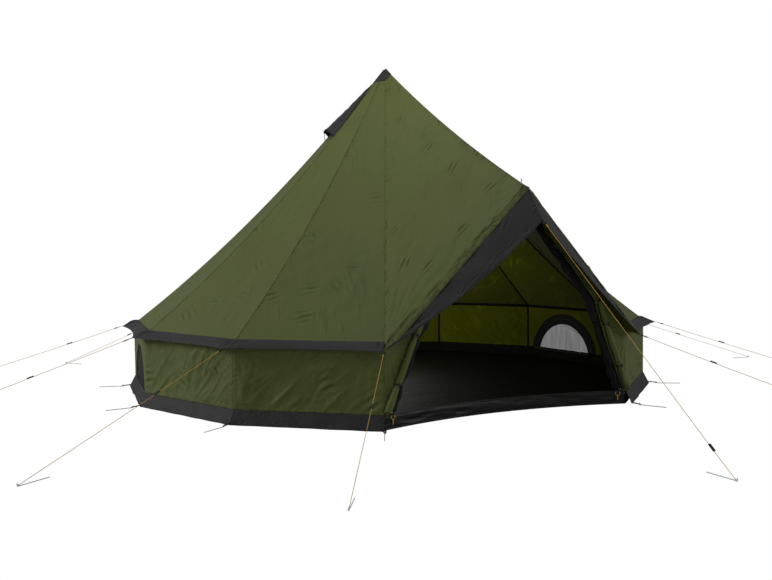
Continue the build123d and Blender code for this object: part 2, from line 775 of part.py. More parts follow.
parts = {
    "groundsheet": make_groundsheet(),
    "groundsheet_tub_wall": make_tub_wall(),
    "door_threshold": make_threshold(),
    "wall_panels": walls,
    "window_wall_right": window_walls[0],
    "window_wall_left": window_walls[1],
    "mesh_screens": solids_of(*window_screens, *make_vent_screens()),
    "window_borders": solids_of(*around(make_window_border(), window_panels)),
    "window_cover_rolls": solids_of(*around(make_window_roll(), window_panels)),
    "window_slider_right": around(window_slider, window_panels)[0],
    "window_slider_left": around(window_slider, window_panels)[1],
    "mud_skirt": make_skirt(),
    "roof_panels": make_roof(),
    "door_roof_panels": make_door_roof(),
    "eave_band": make_eave_band(),
    "door_visor": make_visor(),
    "peak_cap": make_peak_cap(),
    "vent_hoods": solids_of(right_hood, mirrored(right_hood)),
    "vent_strut_right": right_strut,
    "vent_strut_left": mirrored(right_strut),
    "door_walls": make_door_walls(),
    "door_frame": make_door_frame(),
    "door_flap_rolls": make_flap_rolls(),
    "door_mesh_rolls": make_mesh_rolls(),
    "door_slider_right": door_slider,
    "door_slider_left": mirrored(door_slider),
    "pole_foot": make_pole_foot(),
    "pole_crown": make_pole_crown(),
    "corner_loops": solids_of(*[facing(angle) * make_corner_loop() for angle in corner_angles]),
    "eave_rings": solids_of(*[line.ring() for line in lines]),
}
pegs = [line.peg() for line in lines] + [facing(angle) * make_corner_peg() for angle in corner_angles]
parts["ground_pegs"] = solids_of(*pegs)
for index in range(pole_sections):
    parts[f"pole_section_{index + 1}"] = make_pole_section(index)
for index, line in enumerate(lines):
    parts[f"guy_line_{index + 1:02d}"] = line.cord()
    parts[f"guy_runner_{index + 1:02d}"] = line.runner()

os.makedirs("parts", exist_ok=True)
for name, shape in parts.items():
    export_step(shape, f"parts/{name}.step")
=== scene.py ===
import math
import bmesh
import bpy
import numpy as np
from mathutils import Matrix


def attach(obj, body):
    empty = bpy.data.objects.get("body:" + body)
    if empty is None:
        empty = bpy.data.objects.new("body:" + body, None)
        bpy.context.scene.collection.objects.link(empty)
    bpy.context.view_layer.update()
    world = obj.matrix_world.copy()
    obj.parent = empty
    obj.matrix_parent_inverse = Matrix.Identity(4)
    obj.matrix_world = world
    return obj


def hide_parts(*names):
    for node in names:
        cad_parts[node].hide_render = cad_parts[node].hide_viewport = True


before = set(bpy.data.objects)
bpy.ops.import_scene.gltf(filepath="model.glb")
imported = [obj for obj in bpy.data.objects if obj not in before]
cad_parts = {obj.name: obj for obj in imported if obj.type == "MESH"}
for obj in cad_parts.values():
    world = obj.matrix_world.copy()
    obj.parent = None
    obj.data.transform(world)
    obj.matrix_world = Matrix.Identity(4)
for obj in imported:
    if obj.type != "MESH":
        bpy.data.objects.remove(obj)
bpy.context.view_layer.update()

# --- Camera ---
# It stands before the left door corner, a little above a seated eye, and looks past the door.
camera_data = bpy.data.cameras.new("camera")
camera_data.lens = 41.906
camera_data.sensor_width = 36.0
camera_data.clip_end = 100.0
camera = bpy.data.objects.new("camera", camera_data)
camera.location = (-3.1508, -6.3329, 1.0723)
camera.rotation_euler = tuple(math.radians(a) for a in (87.0778, 0.5837, -26.3958))
bpy.context.scene.collection.objects.link(camera)
bpy.context.scene.camera = camera
bpy.context.scene.view_settings.view_transform = "Standard"

# --- Guy lines ---
# Thirteen braided polyester lines, three millimetres thick, each tied below a ring at the eave or the
# visor and pulled tight to its peg. They are a little slack where the runner weighs on them.
door_half_angle = 27.07
panel_angle = (360.0 - 2.0 * door_half_angle) / 11
corner_angles = [door_half_angle + panel_angle * i for i in range(12)]


def polar(angle, radius, height=0.0):
    """A point at an angle in plan from the door's axis, counted towards +X."""
    turn = math.radians(angle)
    return np.array([radius * math.sin(turn), -radius * math.cos(turn), height])


def srgb(red, green, blue):
    """A screen colour, 0 to 255, as the linear colour that a shader takes."""
    shares = [level / 255.0 for level in (red, green, blue)]
    return (*[share / 12.92 if share < 0.04 else ((share + 0.055) / 1.055) ** 2.4 for share in shares], 1.0)


def add(tree, kind, wires=None, **settings):
    """A node of the given kind, with its settings and its inputs, each a value or another socket."""
    made = tree.nodes.new(kind)
    for name, value in settings.items():
        setattr(made, name, value)
    for name, value in (wires or {}).items():
        value = getattr(value, "socket", value)
        if isinstance(value, bpy.types.NodeSocket):
            tree.links.new(value, made.inputs[name])
        else:
            made.inputs[name].default_value = value
    return made


class Number:
    """What a node gives out. Arithmetic with it adds the math nodes that work the sum out."""

    def __init__(self, tree, socket):
        self.tree, self.socket = tree, socket

    def calc(self, operation, second=0.0, third=0.0):
        return node(self.tree, "ShaderNodeMath", {0: self, 1: second, 2: third}, operation=operation)

    def __add__(self, other):
        return self.calc("ADD", other)

    def __sub__(self, other):
        return self.calc("SUBTRACT", other)

    def __rsub__(self, other):
        return node(self.tree, "ShaderNodeMath", {0: other, 1: self, 2: 0.0}, operation="SUBTRACT")

    def __mul__(self, other):
        return self.calc("MULTIPLY", other)

    def __truediv__(self, other):
        return self.calc("DIVIDE", other)

    def __lt__(self, other):
        return self.calc("LESS_THAN", other)

    def __gt__(self, other):
        return self.calc("GREATER_THAN", other)

    def __abs__(self):
        return self.calc("ABSOLUTE")

    def sine(self):
        return self.calc("SINE")

    def squared(self):
        return self.calc("POWER", 2.0)

    def fade(self, rate):
        """One at zero, dying away as the number grows."""
        return (self * -rate).calc("EXPONENT")

    def ramp(self, low, high, first=0.0, last=1.0, **settings):
        """Goes from first to last while the number goes from low to high."""
        wires = {"Value": self, 1: low, 2: high, 3: first, 4: last}
        return node(self.tree, "ShaderNodeMapRange", wires, **settings)


def node(tree, kind, wires=None, output=0, **settings):
    """One output of a new node, ready for sums."""
    return Number(tree, add(tree, kind, wires, **settings).outputs[output])


def pattern(tree, kind, place, **sizes):
    """A noise, a Voronoi or a wave pattern over a place."""
    wires = {"Vector": place, **sizes}
    return node(tree, f"ShaderNodeTex{kind}", wires, output="Distance" if kind == "Voronoi" else "Fac")


def finish_named(name, colour, roughness, sheen=0.0, metallic=0.0, specular=0.35):
    """A new material with its main shader, ready for the nodes that colour and roughen it."""
    material = bpy.data.materials.new(name)
    material.use_nodes = True
    shader = material.node_tree.nodes["Principled BSDF"]
    looks = {"Base Color": colour, "Roughness": roughness, "Metallic": metallic, "Sheen Weight": sheen,
             "Specular IOR Level": specular}
    for key, value in looks.items():
        shader.inputs[key].default_value = value
    return material, material.node_tree, shader


def tint(tree, shader, amount, light, dark):
    """Colours the shader between two tones by a 0 to 1 amount."""
    mix = add(tree, "ShaderNodeMix", {0: amount, 6: dark, 7: light}, data_type="RGBA")
    tree.links.new(mix.outputs[2], shader.inputs["Base Color"])
    return mix


def emboss(tree, shader, height, strength, distance):
    """Raises the surface by a height, on top of the relief that it has already."""
    bump = add(tree, "ShaderNodeBump", {"Height": height, "Strength": strength, "Distance": distance})
    normal = shader.inputs["Normal"]
    if normal.is_linked:
        tree.links.new(normal.links[0].from_socket, bump.inputs["Normal"])
    tree.links.new(bump.outputs[0], normal)


def grained(name, colour, roughness, kind, sizes, light, dark, relief=None, rough=None, **looks):
    """A finish that follows one fine pattern in its tone, and in its relief and roughness if given."""
    material, tree, shader = finish_named(name, colour, roughness, **looks)
    grain = pattern(tree, kind, node(tree, "ShaderNodeTexCoord", output="Object"), **sizes)
    tint(tree, shader, grain, light, dark)
    if relief:
        emboss(tree, shader, grain, *relief)
    if rough:
        tree.links.new(grain.ramp(0.0, 1.0, *rough).socket, shader.inputs["Roughness"])
    return material


def place_in_scene(name, data):
    """A new object in the scene."""
    made = bpy.data.objects.new(name, data)
    bpy.context.scene.collection.objects.link(made)
    return made


line_finish = grained("braided guy line", srgb(206, 148, 52), 0.7, "Voronoi", {"Scale": 700.0},
                      srgb(228, 180, 66), srgb(182, 128, 36), relief=(0.6, 0.0006), sheen=0.2)

eave_tip = (2.044, 0.465)
visor_tip = (2.042, 1.2)
line_heads = [(angle, *eave_tip) for angle in corner_angles] + [(0.0, *visor_tip)]
peg_radii = [3.5, 3.5, 3.5, 3.2, 3.2, 3.1, 3.1, 3.2, 3.5, 3.5, 3.5, 3.5, 3.47]
runner_shares = [0.30, 0.30, 0.45, 0.35, 0.35, 0.35, 0.35, 0.35, 0.24, 0.42, 0.36, 0.40, 0.90]
peg_turns = {11: -2.06}
peg_hook_height = 0.008
line_head_length = 0.0636
line_radius = 0.0015
tab_half = 0.009
slack = np.array([0.0, 0.0, -0.004])
guy_lines = []
for number, (angle, radius, height) in enumerate(line_heads):
    end = polar(angle + peg_turns.get(number, 0.0), peg_radii[number], peg_hook_height)
    run = end - polar(angle, radius)
    swing = abs(math.sin(math.atan2(run[0], -run[1]) - math.radians(angle)))
    start = polar(angle, radius + 0.0003 + tab_half * swing, height + 0.00212)
    length = float(np.linalg.norm(end - start))
    along = (end - start) / length
    head = start + along * line_head_length
    runner = start + along * (line_head_length + runner_shares[number] * (length - line_head_length))
    route = [head, (head + runner) / 2.0 + slack * 0.7, runner + slack,
             (runner + end) / 2.0 + slack * 0.6, end]
    curve = bpy.data.curves.new(f"guy_cord_{number + 1:02d}", "CURVE")
    curve.dimensions = "3D"
    curve.bevel_depth = line_radius
    curve.bevel_resolution = 3
    curve.use_fill_caps = True
    spline = curve.splines.new("NURBS")
    spline.points.add(len(route) - 1)
    for point, spot in zip(spline.points, route):
        point.co = (*spot, 1.0)
    spline.order_u = 3
    spline.use_endpoint_u = True
    spline.resolution_u = 6
    cord = place_in_scene(curve.name, curve)
    cord.data.materials.append(line_finish)
    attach(cord, "tent")
    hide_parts(f"guy_line_{number + 1:02d}")
    f"guy_runner_{number + 1:02d}"
    guy_lines.append((head, along))

# --- Runners ---
# Small moulded nylon tensioners that slide along the lines, black and slightly glossy. The sliders, the
# struts and the pole's plugs are moulded too; the door sliders pull by a loop of the orange line.
runner_finish = grained("moulded nylon", srgb(34, 35, 34), 0.38, "Noise", {"Scale": 900.0, "Detail": 3.0},
                        srgb(46, 47, 45), srgb(24, 25, 24), relief=(0.25, 0.0004))
pull_top = 0.084


def refinish(finish, *names):
    """Gives carried-over solid parts their real finish."""
    for name in names:
        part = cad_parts[name]
        part.data.materials.clear()
        part.data.materials.append(finish)


refinish(runner_finish, *[f"guy_runner_{number:02d}" for number in range(1, 14)])
refinish(runner_finish, "door_slider_right", "door_slider_left", "window_slider_right", "window_slider_left",
         "vent_strut_right", "vent_strut_left", "pole_foot", "pole_crown")
for side in ("right", "left"):
    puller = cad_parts[f"door_slider_{side}"]
    puller.data.materials.append(line_finish)
    for face in puller.data.polygons:
        if (puller.matrix_world @ face.center).z < pull_top:
            face.material_index = 1

# --- Roof gores ---
# Eleven cut gores of olive coated polyester, sewn edge to edge and pulled tight from the pole's top to
# the eave. Each ridge hangs in a shallow curve and each gore draws in a little between its seams.
apex_height = 2.440
roof_foot_height = 0.48454
ridge_run = 1.955
ridge_sag = 0.117
vent_near, vent_far = 0.19, 0.425
vent_hem, vent_half = 0.012, 0.075
cloth_thickness = 0.0012


def ridge_height(radius):
    """The height of a ridge's hanging curve at a distance from the pole."""
    share = radius / ridge_run
    return apex_height + (roof_foot_height - apex_height) * share - 4.0 * ridge_sag * share * (1.0 - share)


def parts(vector):
    """The three numbers of a vector."""
    split = add(vector.tree, "ShaderNodeSeparateXYZ", {0: vector})
    return [Number(vector.tree, out) for out in split.outputs]


def cloth_finish(name, light, dark, creases=1.0, gathers=0.3, lean=0.35, groups=1.0, crease_highlight=0.0,
                 by_panel=0.0, specular=0.35):
    """Woven cloth: fine threads, soft mottling, crease marks in scattered groups, and a seam that puckers,
    darkened in a faint stitch line and in dashes of painted shade at its puckers.
    by_panel moves the pattern on from panel to panel, as each one is cut from another part of the cloth. A
    weight can paint the crease ridges lighter, a painted highlight as if light caught them."""
    material, tree, shader = finish_named(name, light, 0.7, sheen=0.05, specular=specular)
    shader.inputs["Sheen Roughness"].default_value = 0.5
    lay = node(tree, "ShaderNodeUVMap", output="UV", uv_map="lay")
    place = node(tree, "ShaderNodeTexCoord", output="Object")
    cloud = pattern(tree, "Noise", place, Scale=2.2, Detail=4.0, Roughness=0.6)
    fine = pattern(tree, "Noise", place, Scale=60.0, Detail=3.0)
    mix = tint(tree, shader, fine.calc("MULTIPLY_ADD", 0.25, cloud * 0.75), light, dark)

    east, south, _ = parts(place)
    bearing = east.calc("ARCTAN2", south * -1.0)
    turned = bearing.calc("MULTIPLY_ADD", math.degrees(1.0), door_half_angle).calc("FLOORED_MODULO", 360.0)
    panel = turned.calc("MULTIPLY_ADD", 1.0 / panel_angle, -2.0 * door_half_angle / panel_angle).calc("FLOOR")
    moved = node(tree, "ShaderNodeCombineXYZ", {1: panel.calc("MAXIMUM", -1.0) * by_panel})
    own = node(tree, "ShaderNodeVectorMath", {0: lay, 1: moved}, operation="ADD")

    threads = []
    for turn in (0.0, math.pi / 2.0):
        across = node(tree, "ShaderNodeMapping", {"Vector": lay, "Rotation": (0.0, 0.0, turn)})
        threads.append(pattern(tree, "Wave", across, Scale=349.0, Distortion=0.4))
    emboss(tree, shader, threads[0] * threads[1], 0.25, 0.0003)

    wires = {"Vector": own, "Scale": (1.0, 4.5, 1.0), "Rotation": (0.0, 0.0, -lean)}
    stretched = node(tree, "ShaderNodeMapping", wires, vector_type="TEXTURE")
    marks = pattern(tree, "Noise", stretched, Scale=17.0, Detail=2.0, Distortion=0.5)
    patches = pattern(tree, "Noise", own, Scale=3.1, Detail=1.0)
    crease = marks.ramp(0.5, 0.72) * patches.ramp(0.48, 0.66)
    emboss(tree, shader, crease, 0.5 * creases, 0.012)

    cells = add(tree, "ShaderNodeTexVoronoi", {"Vector": own, "Scale": 3.3}, voronoi_dimensions="2D").outputs
    chance = [Number(tree, out) for out in add(tree, "ShaderNodeSeparateColor", {0: cells["Color"]}).outputs]
    off = node(tree, "ShaderNodeVectorMath", {0: own, 1: cells["Position"]}, operation="SUBTRACT")
    bend = pattern(tree, "Noise", own, Scale=12.0, Detail=1.0)
    heading = chance[0].calc("MULTIPLY_ADD", 2.0, bend * 0.9)
    swung = node(tree, "ShaderNodeVectorRotate", {"Vector": off, "Angle": heading}, rotation_type="Z_AXIS")
    spot = parts(swung)
    near = (spot[0] * 17.0).squared() + (spot[1] * 21.0).squared()
    group = near.fade(1.0) * (chance[1] > 0.42)
    emboss(tree, shader, (spot[0] * 128.0).sine() * group, groups, 0.0055)

    seam = node(tree, "ShaderNodeAttribute", output="Fac", attribute_name="seam")
    beat = parts(lay)[1].calc("MULTIPLY_ADD", 150.0, bend * 22.0).sine()
    drawn = beat * (seam.fade(42.0) - seam.fade(400.0)) * bend.ramp(0.44, 0.64)
    emboss(tree, shader, drawn, gathers, 0.012)
    # Beside the seam the colour is darkened: a faint steady line for the stitching, and dashes at the pucker
    # rhythm that are painted shade in the puckers.
    stitch_line_and_pucker_shade = beat.calc("MAXIMUM", 0.0).calc("MULTIPLY_ADD", 0.5 * gathers, 0.06)
    seam_stitching_and_shade = seam.ramp(0.0010, 0.0034, 1.0, 0.0) * stitch_line_and_pucker_shade
    # The crease weight paints the crease ridges lighter: a painted highlight, not a mark in the cloth.
    shade = 1.0 - seam_stitching_and_shade + crease * crease_highlight
    wires = {0: 1.0, 6: mix.outputs[2], 7: shade}
    toned = add(tree, "ShaderNodeMix", wires, data_type="RGBA", blend_type="MULTIPLY")
    tree.links.new(toned.outputs[2], shader.inputs["Base Color"])
    return material


olive = cloth_finish("olive roof cloth", srgb(93, 102, 48), srgb(80, 89, 39), by_panel=7.31)
# The inner face has its crease ridges painted lighter (weight 1.1), a painted highlight.
olive_inside = cloth_finish("coated inner face", srgb(80, 82, 3), srgb(62, 63, 1), gathers=0.1, lean=0.8,
                            groups=0.1, crease_highlight=1.1, by_panel=5.17, specular=0.03)


def group_inputs(name, sizes):
    """A geometry tree with a named input for each size and for a material, and what those inputs give.
    A size that is None takes an object."""
    tree = bpy.data.node_groups.new(name, "GeometryNodeTree")
    kinds = {int: "NodeSocketInt", float: "NodeSocketFloat", type(None): "NodeSocketObject"}
    for label, size in sizes.items():
        socket = tree.interface.new_socket(label, in_out="INPUT", socket_type=kinds[type(size)])
        if size is not None:
            socket.default_value = size
    tree.interface.new_socket("Finish", in_out="INPUT", socket_type="NodeSocketMaterial")
    tree.interface.new_socket("Geometry", in_out="OUTPUT", socket_type="NodeSocketGeometry")
    return tree, {out.name: Number(tree, out) for out in tree.nodes.new("NodeGroupInput").outputs}


def ridge_curve(given, down):
    """How far out a ridge has come, and how far it has dropped, after a share of its length."""
    radius = down.calc("MULTIPLY_ADD", given["Foot Radius"] - given["Top Radius"], given["Top Radius"])
    share = radius / ridge_run
    fall = share * (given["Foot Height"] - given["Apex Height"])
    return radius, fall + share * (1.0 - share) * (given["Sag"] * -4.0)


def copies_round(tree, given, piece, count, step):
    """Copies of a piece round the pole, a panel's angle apart."""
    heading = step.calc("MULTIPLY_ADD", given["Panel Angle"], given["First Angle"]) - 90.0
    wires = {"Points": node(tree, "GeometryNodePoints", {"Count": count}), "Instance": piece,
             "Rotation": node(tree, "ShaderNodeCombineXYZ", {2: heading.calc("RADIANS")})}
    return node(tree, "GeometryNodeRealizeInstances", {0: node(tree, "GeometryNodeInstanceOnPoints", wires)})


def give_out(tree, given, geometry):
    """Ends a geometry tree with its finished geometry."""
    wires = {"Geometry": geometry, "Material": given["Finish"]}
    add(tree, "NodeGroupOutput", {0: node(tree, "GeometryNodeSetMaterial", wires)})


def plain(piece):
    """Fixes a piece's modifiers into its mesh."""
    depsgraph = bpy.context.evaluated_depsgraph_get()
    mesh = bpy.data.meshes.new_from_object(piece.evaluated_get(depsgraph), preserve_all_data_layers=True,
                                           depsgraph=depsgraph)
    piece.modifiers.clear()
    piece.data = mesh
    mesh.name = piece.name
    return piece


def grow(name, tree, finish, sizes=None):
    """Runs a geometry tree once and keeps its result as a plain mesh piece."""
    blank = place_in_scene(name, bpy.data.meshes.new(name))
    modifier = blank.modifiers.new(name, "NODES")
    modifier.node_group = tree
    wanted = {"Finish": finish, **(sizes or {})}
    for item in tree.interface.items_tree:
        if item.in_out == "INPUT" and item.name in wanted:
            modifier[item.identifier] = wanted[item.name]
    bpy.context.view_layer.update()
    return plain(blank)


def thicken(piece, thickness, inner=None, offset=-1.0):
    """Gives a cloth surface its thickness, with its own finish on the inner face."""
    if inner is not None:
        piece.data.materials.append(inner)
    wall = piece.modifiers.new("thickness", "SOLIDIFY")
    wall.thickness = thickness
    wall.offset = offset
    wall.material_offset = 1 if inner is not None else 0
    return plain(piece)


tree, given = group_inputs("roof gores", {
    "Rows": 130, "Columns": 34, "Top Radius": 0.06, "Foot Radius": ridge_run, "Apex Height": apex_height,
    "Foot Height": roof_foot_height, "Sag": ridge_sag, "Panels": 11, "First Angle": door_half_angle,
    "Panel Angle": panel_angle, "Draw In": 0.012, "Fold Depth": 0.012, "Pucker Depth": 0.012,
    "Crease Depth": 0.0075})
sheet = node(tree, "GeometryNodeMeshGrid", {"Vertices X": given["Rows"], "Vertices Y": given["Columns"]})
where = parts(node(tree, "GeometryNodeInputPosition"))
down = where[0] + 0.5
across = (where[1] * math.pi).sine()
half = (given["Panel Angle"] * 0.5).calc("RADIANS")
radius, fallen = ridge_curve(given, down)
height = fallen + given["Apex Height"]
width = radius * half.sine()
belly = (1.0 - across * across) * (down * math.pi).sine() * given["Draw In"]
side = across * width
spot = node(tree, "ShaderNodeCombineXYZ",
            {0: radius * half.calc("COSINE") - belly * 0.7, 1: side, 2: height - belly * 0.7})
lay = node(tree, "ShaderNodeCombineXYZ", {0: side, 1: radius * 1.42})
marked = node(tree, "GeometryNodeStoreNamedAttribute",
              {"Geometry": sheet, "Name": "seam", "Value": (1.0 - abs(across)) * width}, data_type="FLOAT")
laid = node(tree, "GeometryNodeStoreNamedAttribute", {"Geometry": marked, "Name": "lay", "Value": lay},
            data_type="FLOAT2", domain="CORNER")
hung = node(tree, "GeometryNodeSetPosition", {"Geometry": laid, "Position": spot})
joined = copies_round(tree, given, hung, given["Panels"], node(tree, "GeometryNodeInputIndex") + 0.5)
merged = node(tree, "GeometryNodeMergeByDistance", {"Geometry": joined, "Distance": 0.0005})

seam = node(tree, "GeometryNodeInputNamedAttribute", {"Name": "seam"}, data_type="FLOAT")
spot = node(tree, "GeometryNodeInputPosition")
squeezed = node(tree, "ShaderNodeVectorMath", {0: spot, 1: (1.0, 1.0, 0.35)}, operation="MULTIPLY")
swell = pattern(tree, "Noise", squeezed, Scale=4.5, Detail=2.0, Roughness=0.45)
away = seam.ramp(0.0, 0.12, interpolation_type="SMOOTHSTEP")
fold = (swell - 0.52) * given["Fold Depth"] * away
pucker = pattern(tree, "Noise", spot, Scale=19.0, Detail=1.0)
near = (seam.fade(28.0) - seam.fade(300.0)) * (pucker - 0.5)
cloth_lay = node(tree, "GeometryNodeInputNamedAttribute", {"Name": "lay"}, data_type="FLOAT_VECTOR")
drawn_out = node(tree, "ShaderNodeVectorMath", {0: cloth_lay, 1: (1.0, 0.30, 1.0)}, operation="MULTIPLY")
streak = pattern(tree, "Noise", drawn_out, Scale=6.5, Detail=1.0, Distortion=0.8)
crest = 1.0 - (abs(streak - 0.5) * 14.0).calc("MINIMUM", 1.0)
spread = pattern(tree, "Noise", spot, Scale=1.7, Detail=1.0).ramp(0.42, 0.62, interpolation_type="SMOOTHSTEP")
crease = crest * spread * (away * given["Crease Depth"])
x, y, z = parts(spot)
free = z.ramp(0.515, 0.62, interpolation_type="SMOOTHSTEP")
shift = (near.calc("MULTIPLY_ADD", given["Pucker Depth"], fold) + crease) * free
outward = node(tree, "GeometryNodeInputNormal")
lifted = node(tree, "ShaderNodeVectorMath", {0: outward, "Scale": shift}, operation="SCALE")
wrinkled = node(tree, "GeometryNodeSetPosition", {"Geometry": merged, "Offset": lifted})

flat_radius = (x * x + y * y).calc("SQRT")
bearing = abs(x).calc("ARCTAN2", y * -1.0).calc("DEGREES")
beside = abs(bearing - corner_angles[3]) < panel_angle / 2.0
low_part = (flat_radius > vent_near) * (flat_radius < vent_far)
open_part = (seam > vent_hem) * (seam < vent_half)
wires = {"Geometry": wrinkled, "Selection": beside * low_part * open_part}
vented = node(tree, "GeometryNodeDeleteGeometry", wires, domain="FACE")
give_out(tree, given, node(tree, "GeometryNodeSetShadeSmooth", {"Geometry": vented}))

roof = grow("roof_gores", tree, olive)
thicken(roof, cloth_thickness, olive_inside)
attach(roof, "tent")
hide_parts("roof_panels")

# --- Seam tapes and lapped seams ---
# Each ridge seam is lapped and twice stitched, so outside it stands up as a thin cord of the roof's own
# cloth. Inside it is sealed with a narrow black tape.
tree, given = group_inputs("ridge tapes", {
    "Points": 90, "Top Radius": 0.09, "Foot Radius": 1.945, "Apex Height": apex_height,
    "Foot Height": roof_foot_height, "Sag": ridge_sag, "Seams": 12, "First Angle": door_half_angle,
    "Panel Angle": panel_angle, "Lift": 0.0012, "Width": 0.016})
stem = node(tree, "GeometryNodeCurvePrimitiveLine", {"Start": (0.0, 0.0, 0.0), "End": (1.0, 0.0, 0.0)})
beads = node(tree, "GeometryNodeResampleCurve", {"Curve": stem, "Count": given["Points"]})
radius, fallen = ridge_curve(given, parts(node(tree, "GeometryNodeInputPosition"))[0])
height = fallen + (given["Apex Height"] + given["Lift"])
spot = node(tree, "ShaderNodeCombineXYZ", {0: radius, 2: height})
ridge = node(tree, "GeometryNodeSetPosition", {"Geometry": beads, "Position": spot})
upright = node(tree, "GeometryNodeSetCurveNormal", {"Curve": ridge}, mode="Z_UP")
strip = node(tree, "GeometryNodeCurvePrimitiveQuadrilateral", {"Width": given["Width"], "Height": 0.0008})
tape = node(tree, "GeometryNodeCurveToMesh", {"Curve": upright, "Profile Curve": strip, "Fill Caps": True})
give_out(tree, given, copies_round(tree, given, tape, given["Seams"], node(tree, "GeometryNodeInputIndex")))

tape_finish = grained("black seam tape", srgb(14, 14, 12), 0.85, "Noise", {"Scale": 140.0, "Detail": 4.0},
                      srgb(20, 20, 17), srgb(8, 8, 7), relief=(0.3, 0.0006), specular=0.06)
seam_finish = grained("stitched ridge seam", srgb(84, 93, 42), 0.75, "Noise", {"Scale": 34.0, "Detail": 3.0},
                      srgb(90, 99, 46), srgb(78, 87, 38), relief=(0.8, 0.003))
inner_tapes = grow("inner_ridge_tapes", tree, tape_finish, {"Lift": -0.0080, "Width": 0.013})
outer_seams = grow("ridge_seams", tree, seam_finish, {"Lift": 0.0006, "Width": 0.007})
for piece in (inner_tapes, outer_seams):
    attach(piece, "tent")

# --- Side walls ---
# Nine plain wall panels and two with a half-moon window, of the roof's cloth, sewn to the roof at the
# eave and to the dark skirt at the foot. They hang slack between the corners and crease on the bias.
up = np.array([0.0, 0.0, 1.0])
half_panel = math.radians(panel_angle / 2.0)
wall_radius = 1.955
wall_apothem = wall_radius * math.cos(half_panel)
wall_half_width = wall_radius * math.sin(half_panel)
eave_height = 0.480
skirt_height = 0.090
window_radius = 0.324
window_centre = 0.013
window_sill = 0.102
window_panels = {"right": 2, "left": 8}


def drift(spots, size, seed, squash=(1.0, 1.0, 1.0)):
    """Smooth random heights, about -1 to 1, with bumps of the given size."""
    picks = np.random.default_rng(seed)
    spots = np.asarray(spots, float) * np.array(squash[:np.asarray(spots).shape[-1]])
    total = 0.0
    for _ in range(10):
        way = picks.normal(size=spots.shape[-1])
        way /= np.linalg.norm(way)
        beats = spots @ way * (2.0 * math.pi / size) * picks.uniform(0.6, 1.5)
        total = total + np.sin(beats + picks.uniform(0.0, 2.0 * math.pi))
    return total / 3.2


def folds(lay, size, lean, seed, sharp=0.35):
    """Narrow raised folds that run along a direction leaning from the vertical by an angle in degrees."""
    turn = math.radians(lean)
    along = lay[..., 0] * math.sin(turn) + lay[..., 1] * math.cos(turn)
    across = lay[..., 0] * math.cos(turn) - lay[..., 1] * math.sin(turn)
    wander = drift(np.stack([across, along * 0.12], -1), size, seed)
    mask = np.clip(drift(np.stack([across, along], -1), size * 3.0, seed + 50) * 0.8 + 0.3, 0.0, 1.0)
    return np.exp(-(wander / sharp) ** 2) * mask


def fan(lay, corner, spokes, reach, turn=0.0):
    """Folds that spread out from a pulled corner and die away."""
    off = lay - np.array(corner)
    distance = np.hypot(off[..., 0], off[..., 1])
    angle = np.arctan2(off[..., 1], off[..., 0])
    return np.sin(angle * spokes + turn) * np.exp(-distance / reach) * distance / (distance + 0.04)


def patch(name, spots, lay, finish, seam=None, round_lay=None):
    """A smooth surface through a grid of points, with its flat lay and its distance from the seam.
    round_lay closes the grid sideways and is how much the lay has gained after one turn."""
    rows, columns = spots.shape[:2]
    index = np.arange(rows * columns).reshape(rows, columns)
    if round_lay is not None:
        index = np.concatenate([index, index[:, :1]], 1)
        lay = np.concatenate([lay, lay[:, :1] + np.array(round_lay)], 1)
    wide = np.arange(lay.shape[0] * lay.shape[1]).reshape(lay.shape[:2])
    faces, corners = [np.stack([at[:-1, :-1], at[:-1, 1:], at[1:, 1:], at[1:, :-1]], -1).reshape(-1, 4)
                      for at in (index, wide)]
    mesh = bpy.data.meshes.new(name)
    mesh.from_pydata(spots.reshape(-1, 3).tolist(), [], faces.tolist())
    flat = lay.reshape(-1, 2)[corners.reshape(-1)].astype(np.float32)
    mesh.uv_layers.new(name="lay").data.foreach_set("uv", flat.reshape(-1))
    gap = np.full(rows * columns, 1.0) if seam is None else seam.reshape(-1)
    mesh.attributes.new("seam", "FLOAT", "POINT").data.foreach_set("value", gap.astype(np.float32))
    mesh.polygons.foreach_set("use_smooth", [True] * len(mesh.polygons))
    mesh.materials.append(finish)
    return place_in_scene(name, mesh)


def join(name, pieces):
    """One piece from several, under a new name."""
    with bpy.context.temp_override(active_object=pieces[0], selected_editable_objects=pieces,
                                   selected_objects=pieces):
        bpy.ops.object.join()
    pieces[0].name = name
    pieces[0].data.name = name
    return pieces[0]


def smooth_step(value, low, high):
    """Goes softly from 0 to 1 while the value goes from low to high."""
    share = np.clip((value - low) / (high - low), 0.0, 1.0)
    return share * share * (3.0 - 2.0 * share)


def blend(first, second, share):
    """Goes from first to second as the share goes from 0 to 1."""
    return first * (1.0 - share) + second * share


def grid(down, across):
    """Two steady runs, each given by its ends and count, spread over the rows and columns of a grid."""
    return np.meshgrid(np.linspace(*down), np.linspace(*across), indexing="ij")


def panel_middle(index):
    """The angle in plan of a panel's middle."""
    return corner_angles[index] + panel_angle / 2.0


def spots_at(angle, reach, sway, rise):
    """Points at a reach outwards along an angle, a sway to its side and a rise from the ground."""
    outward = polar(angle, 1.0)
    sideways = np.array([-outward[1], outward[0], 0.0])
    steps = ((outward, reach), (sideways, sway), (up, rise))
    return sum(way * np.asarray(far)[..., None] for way, far in steps)


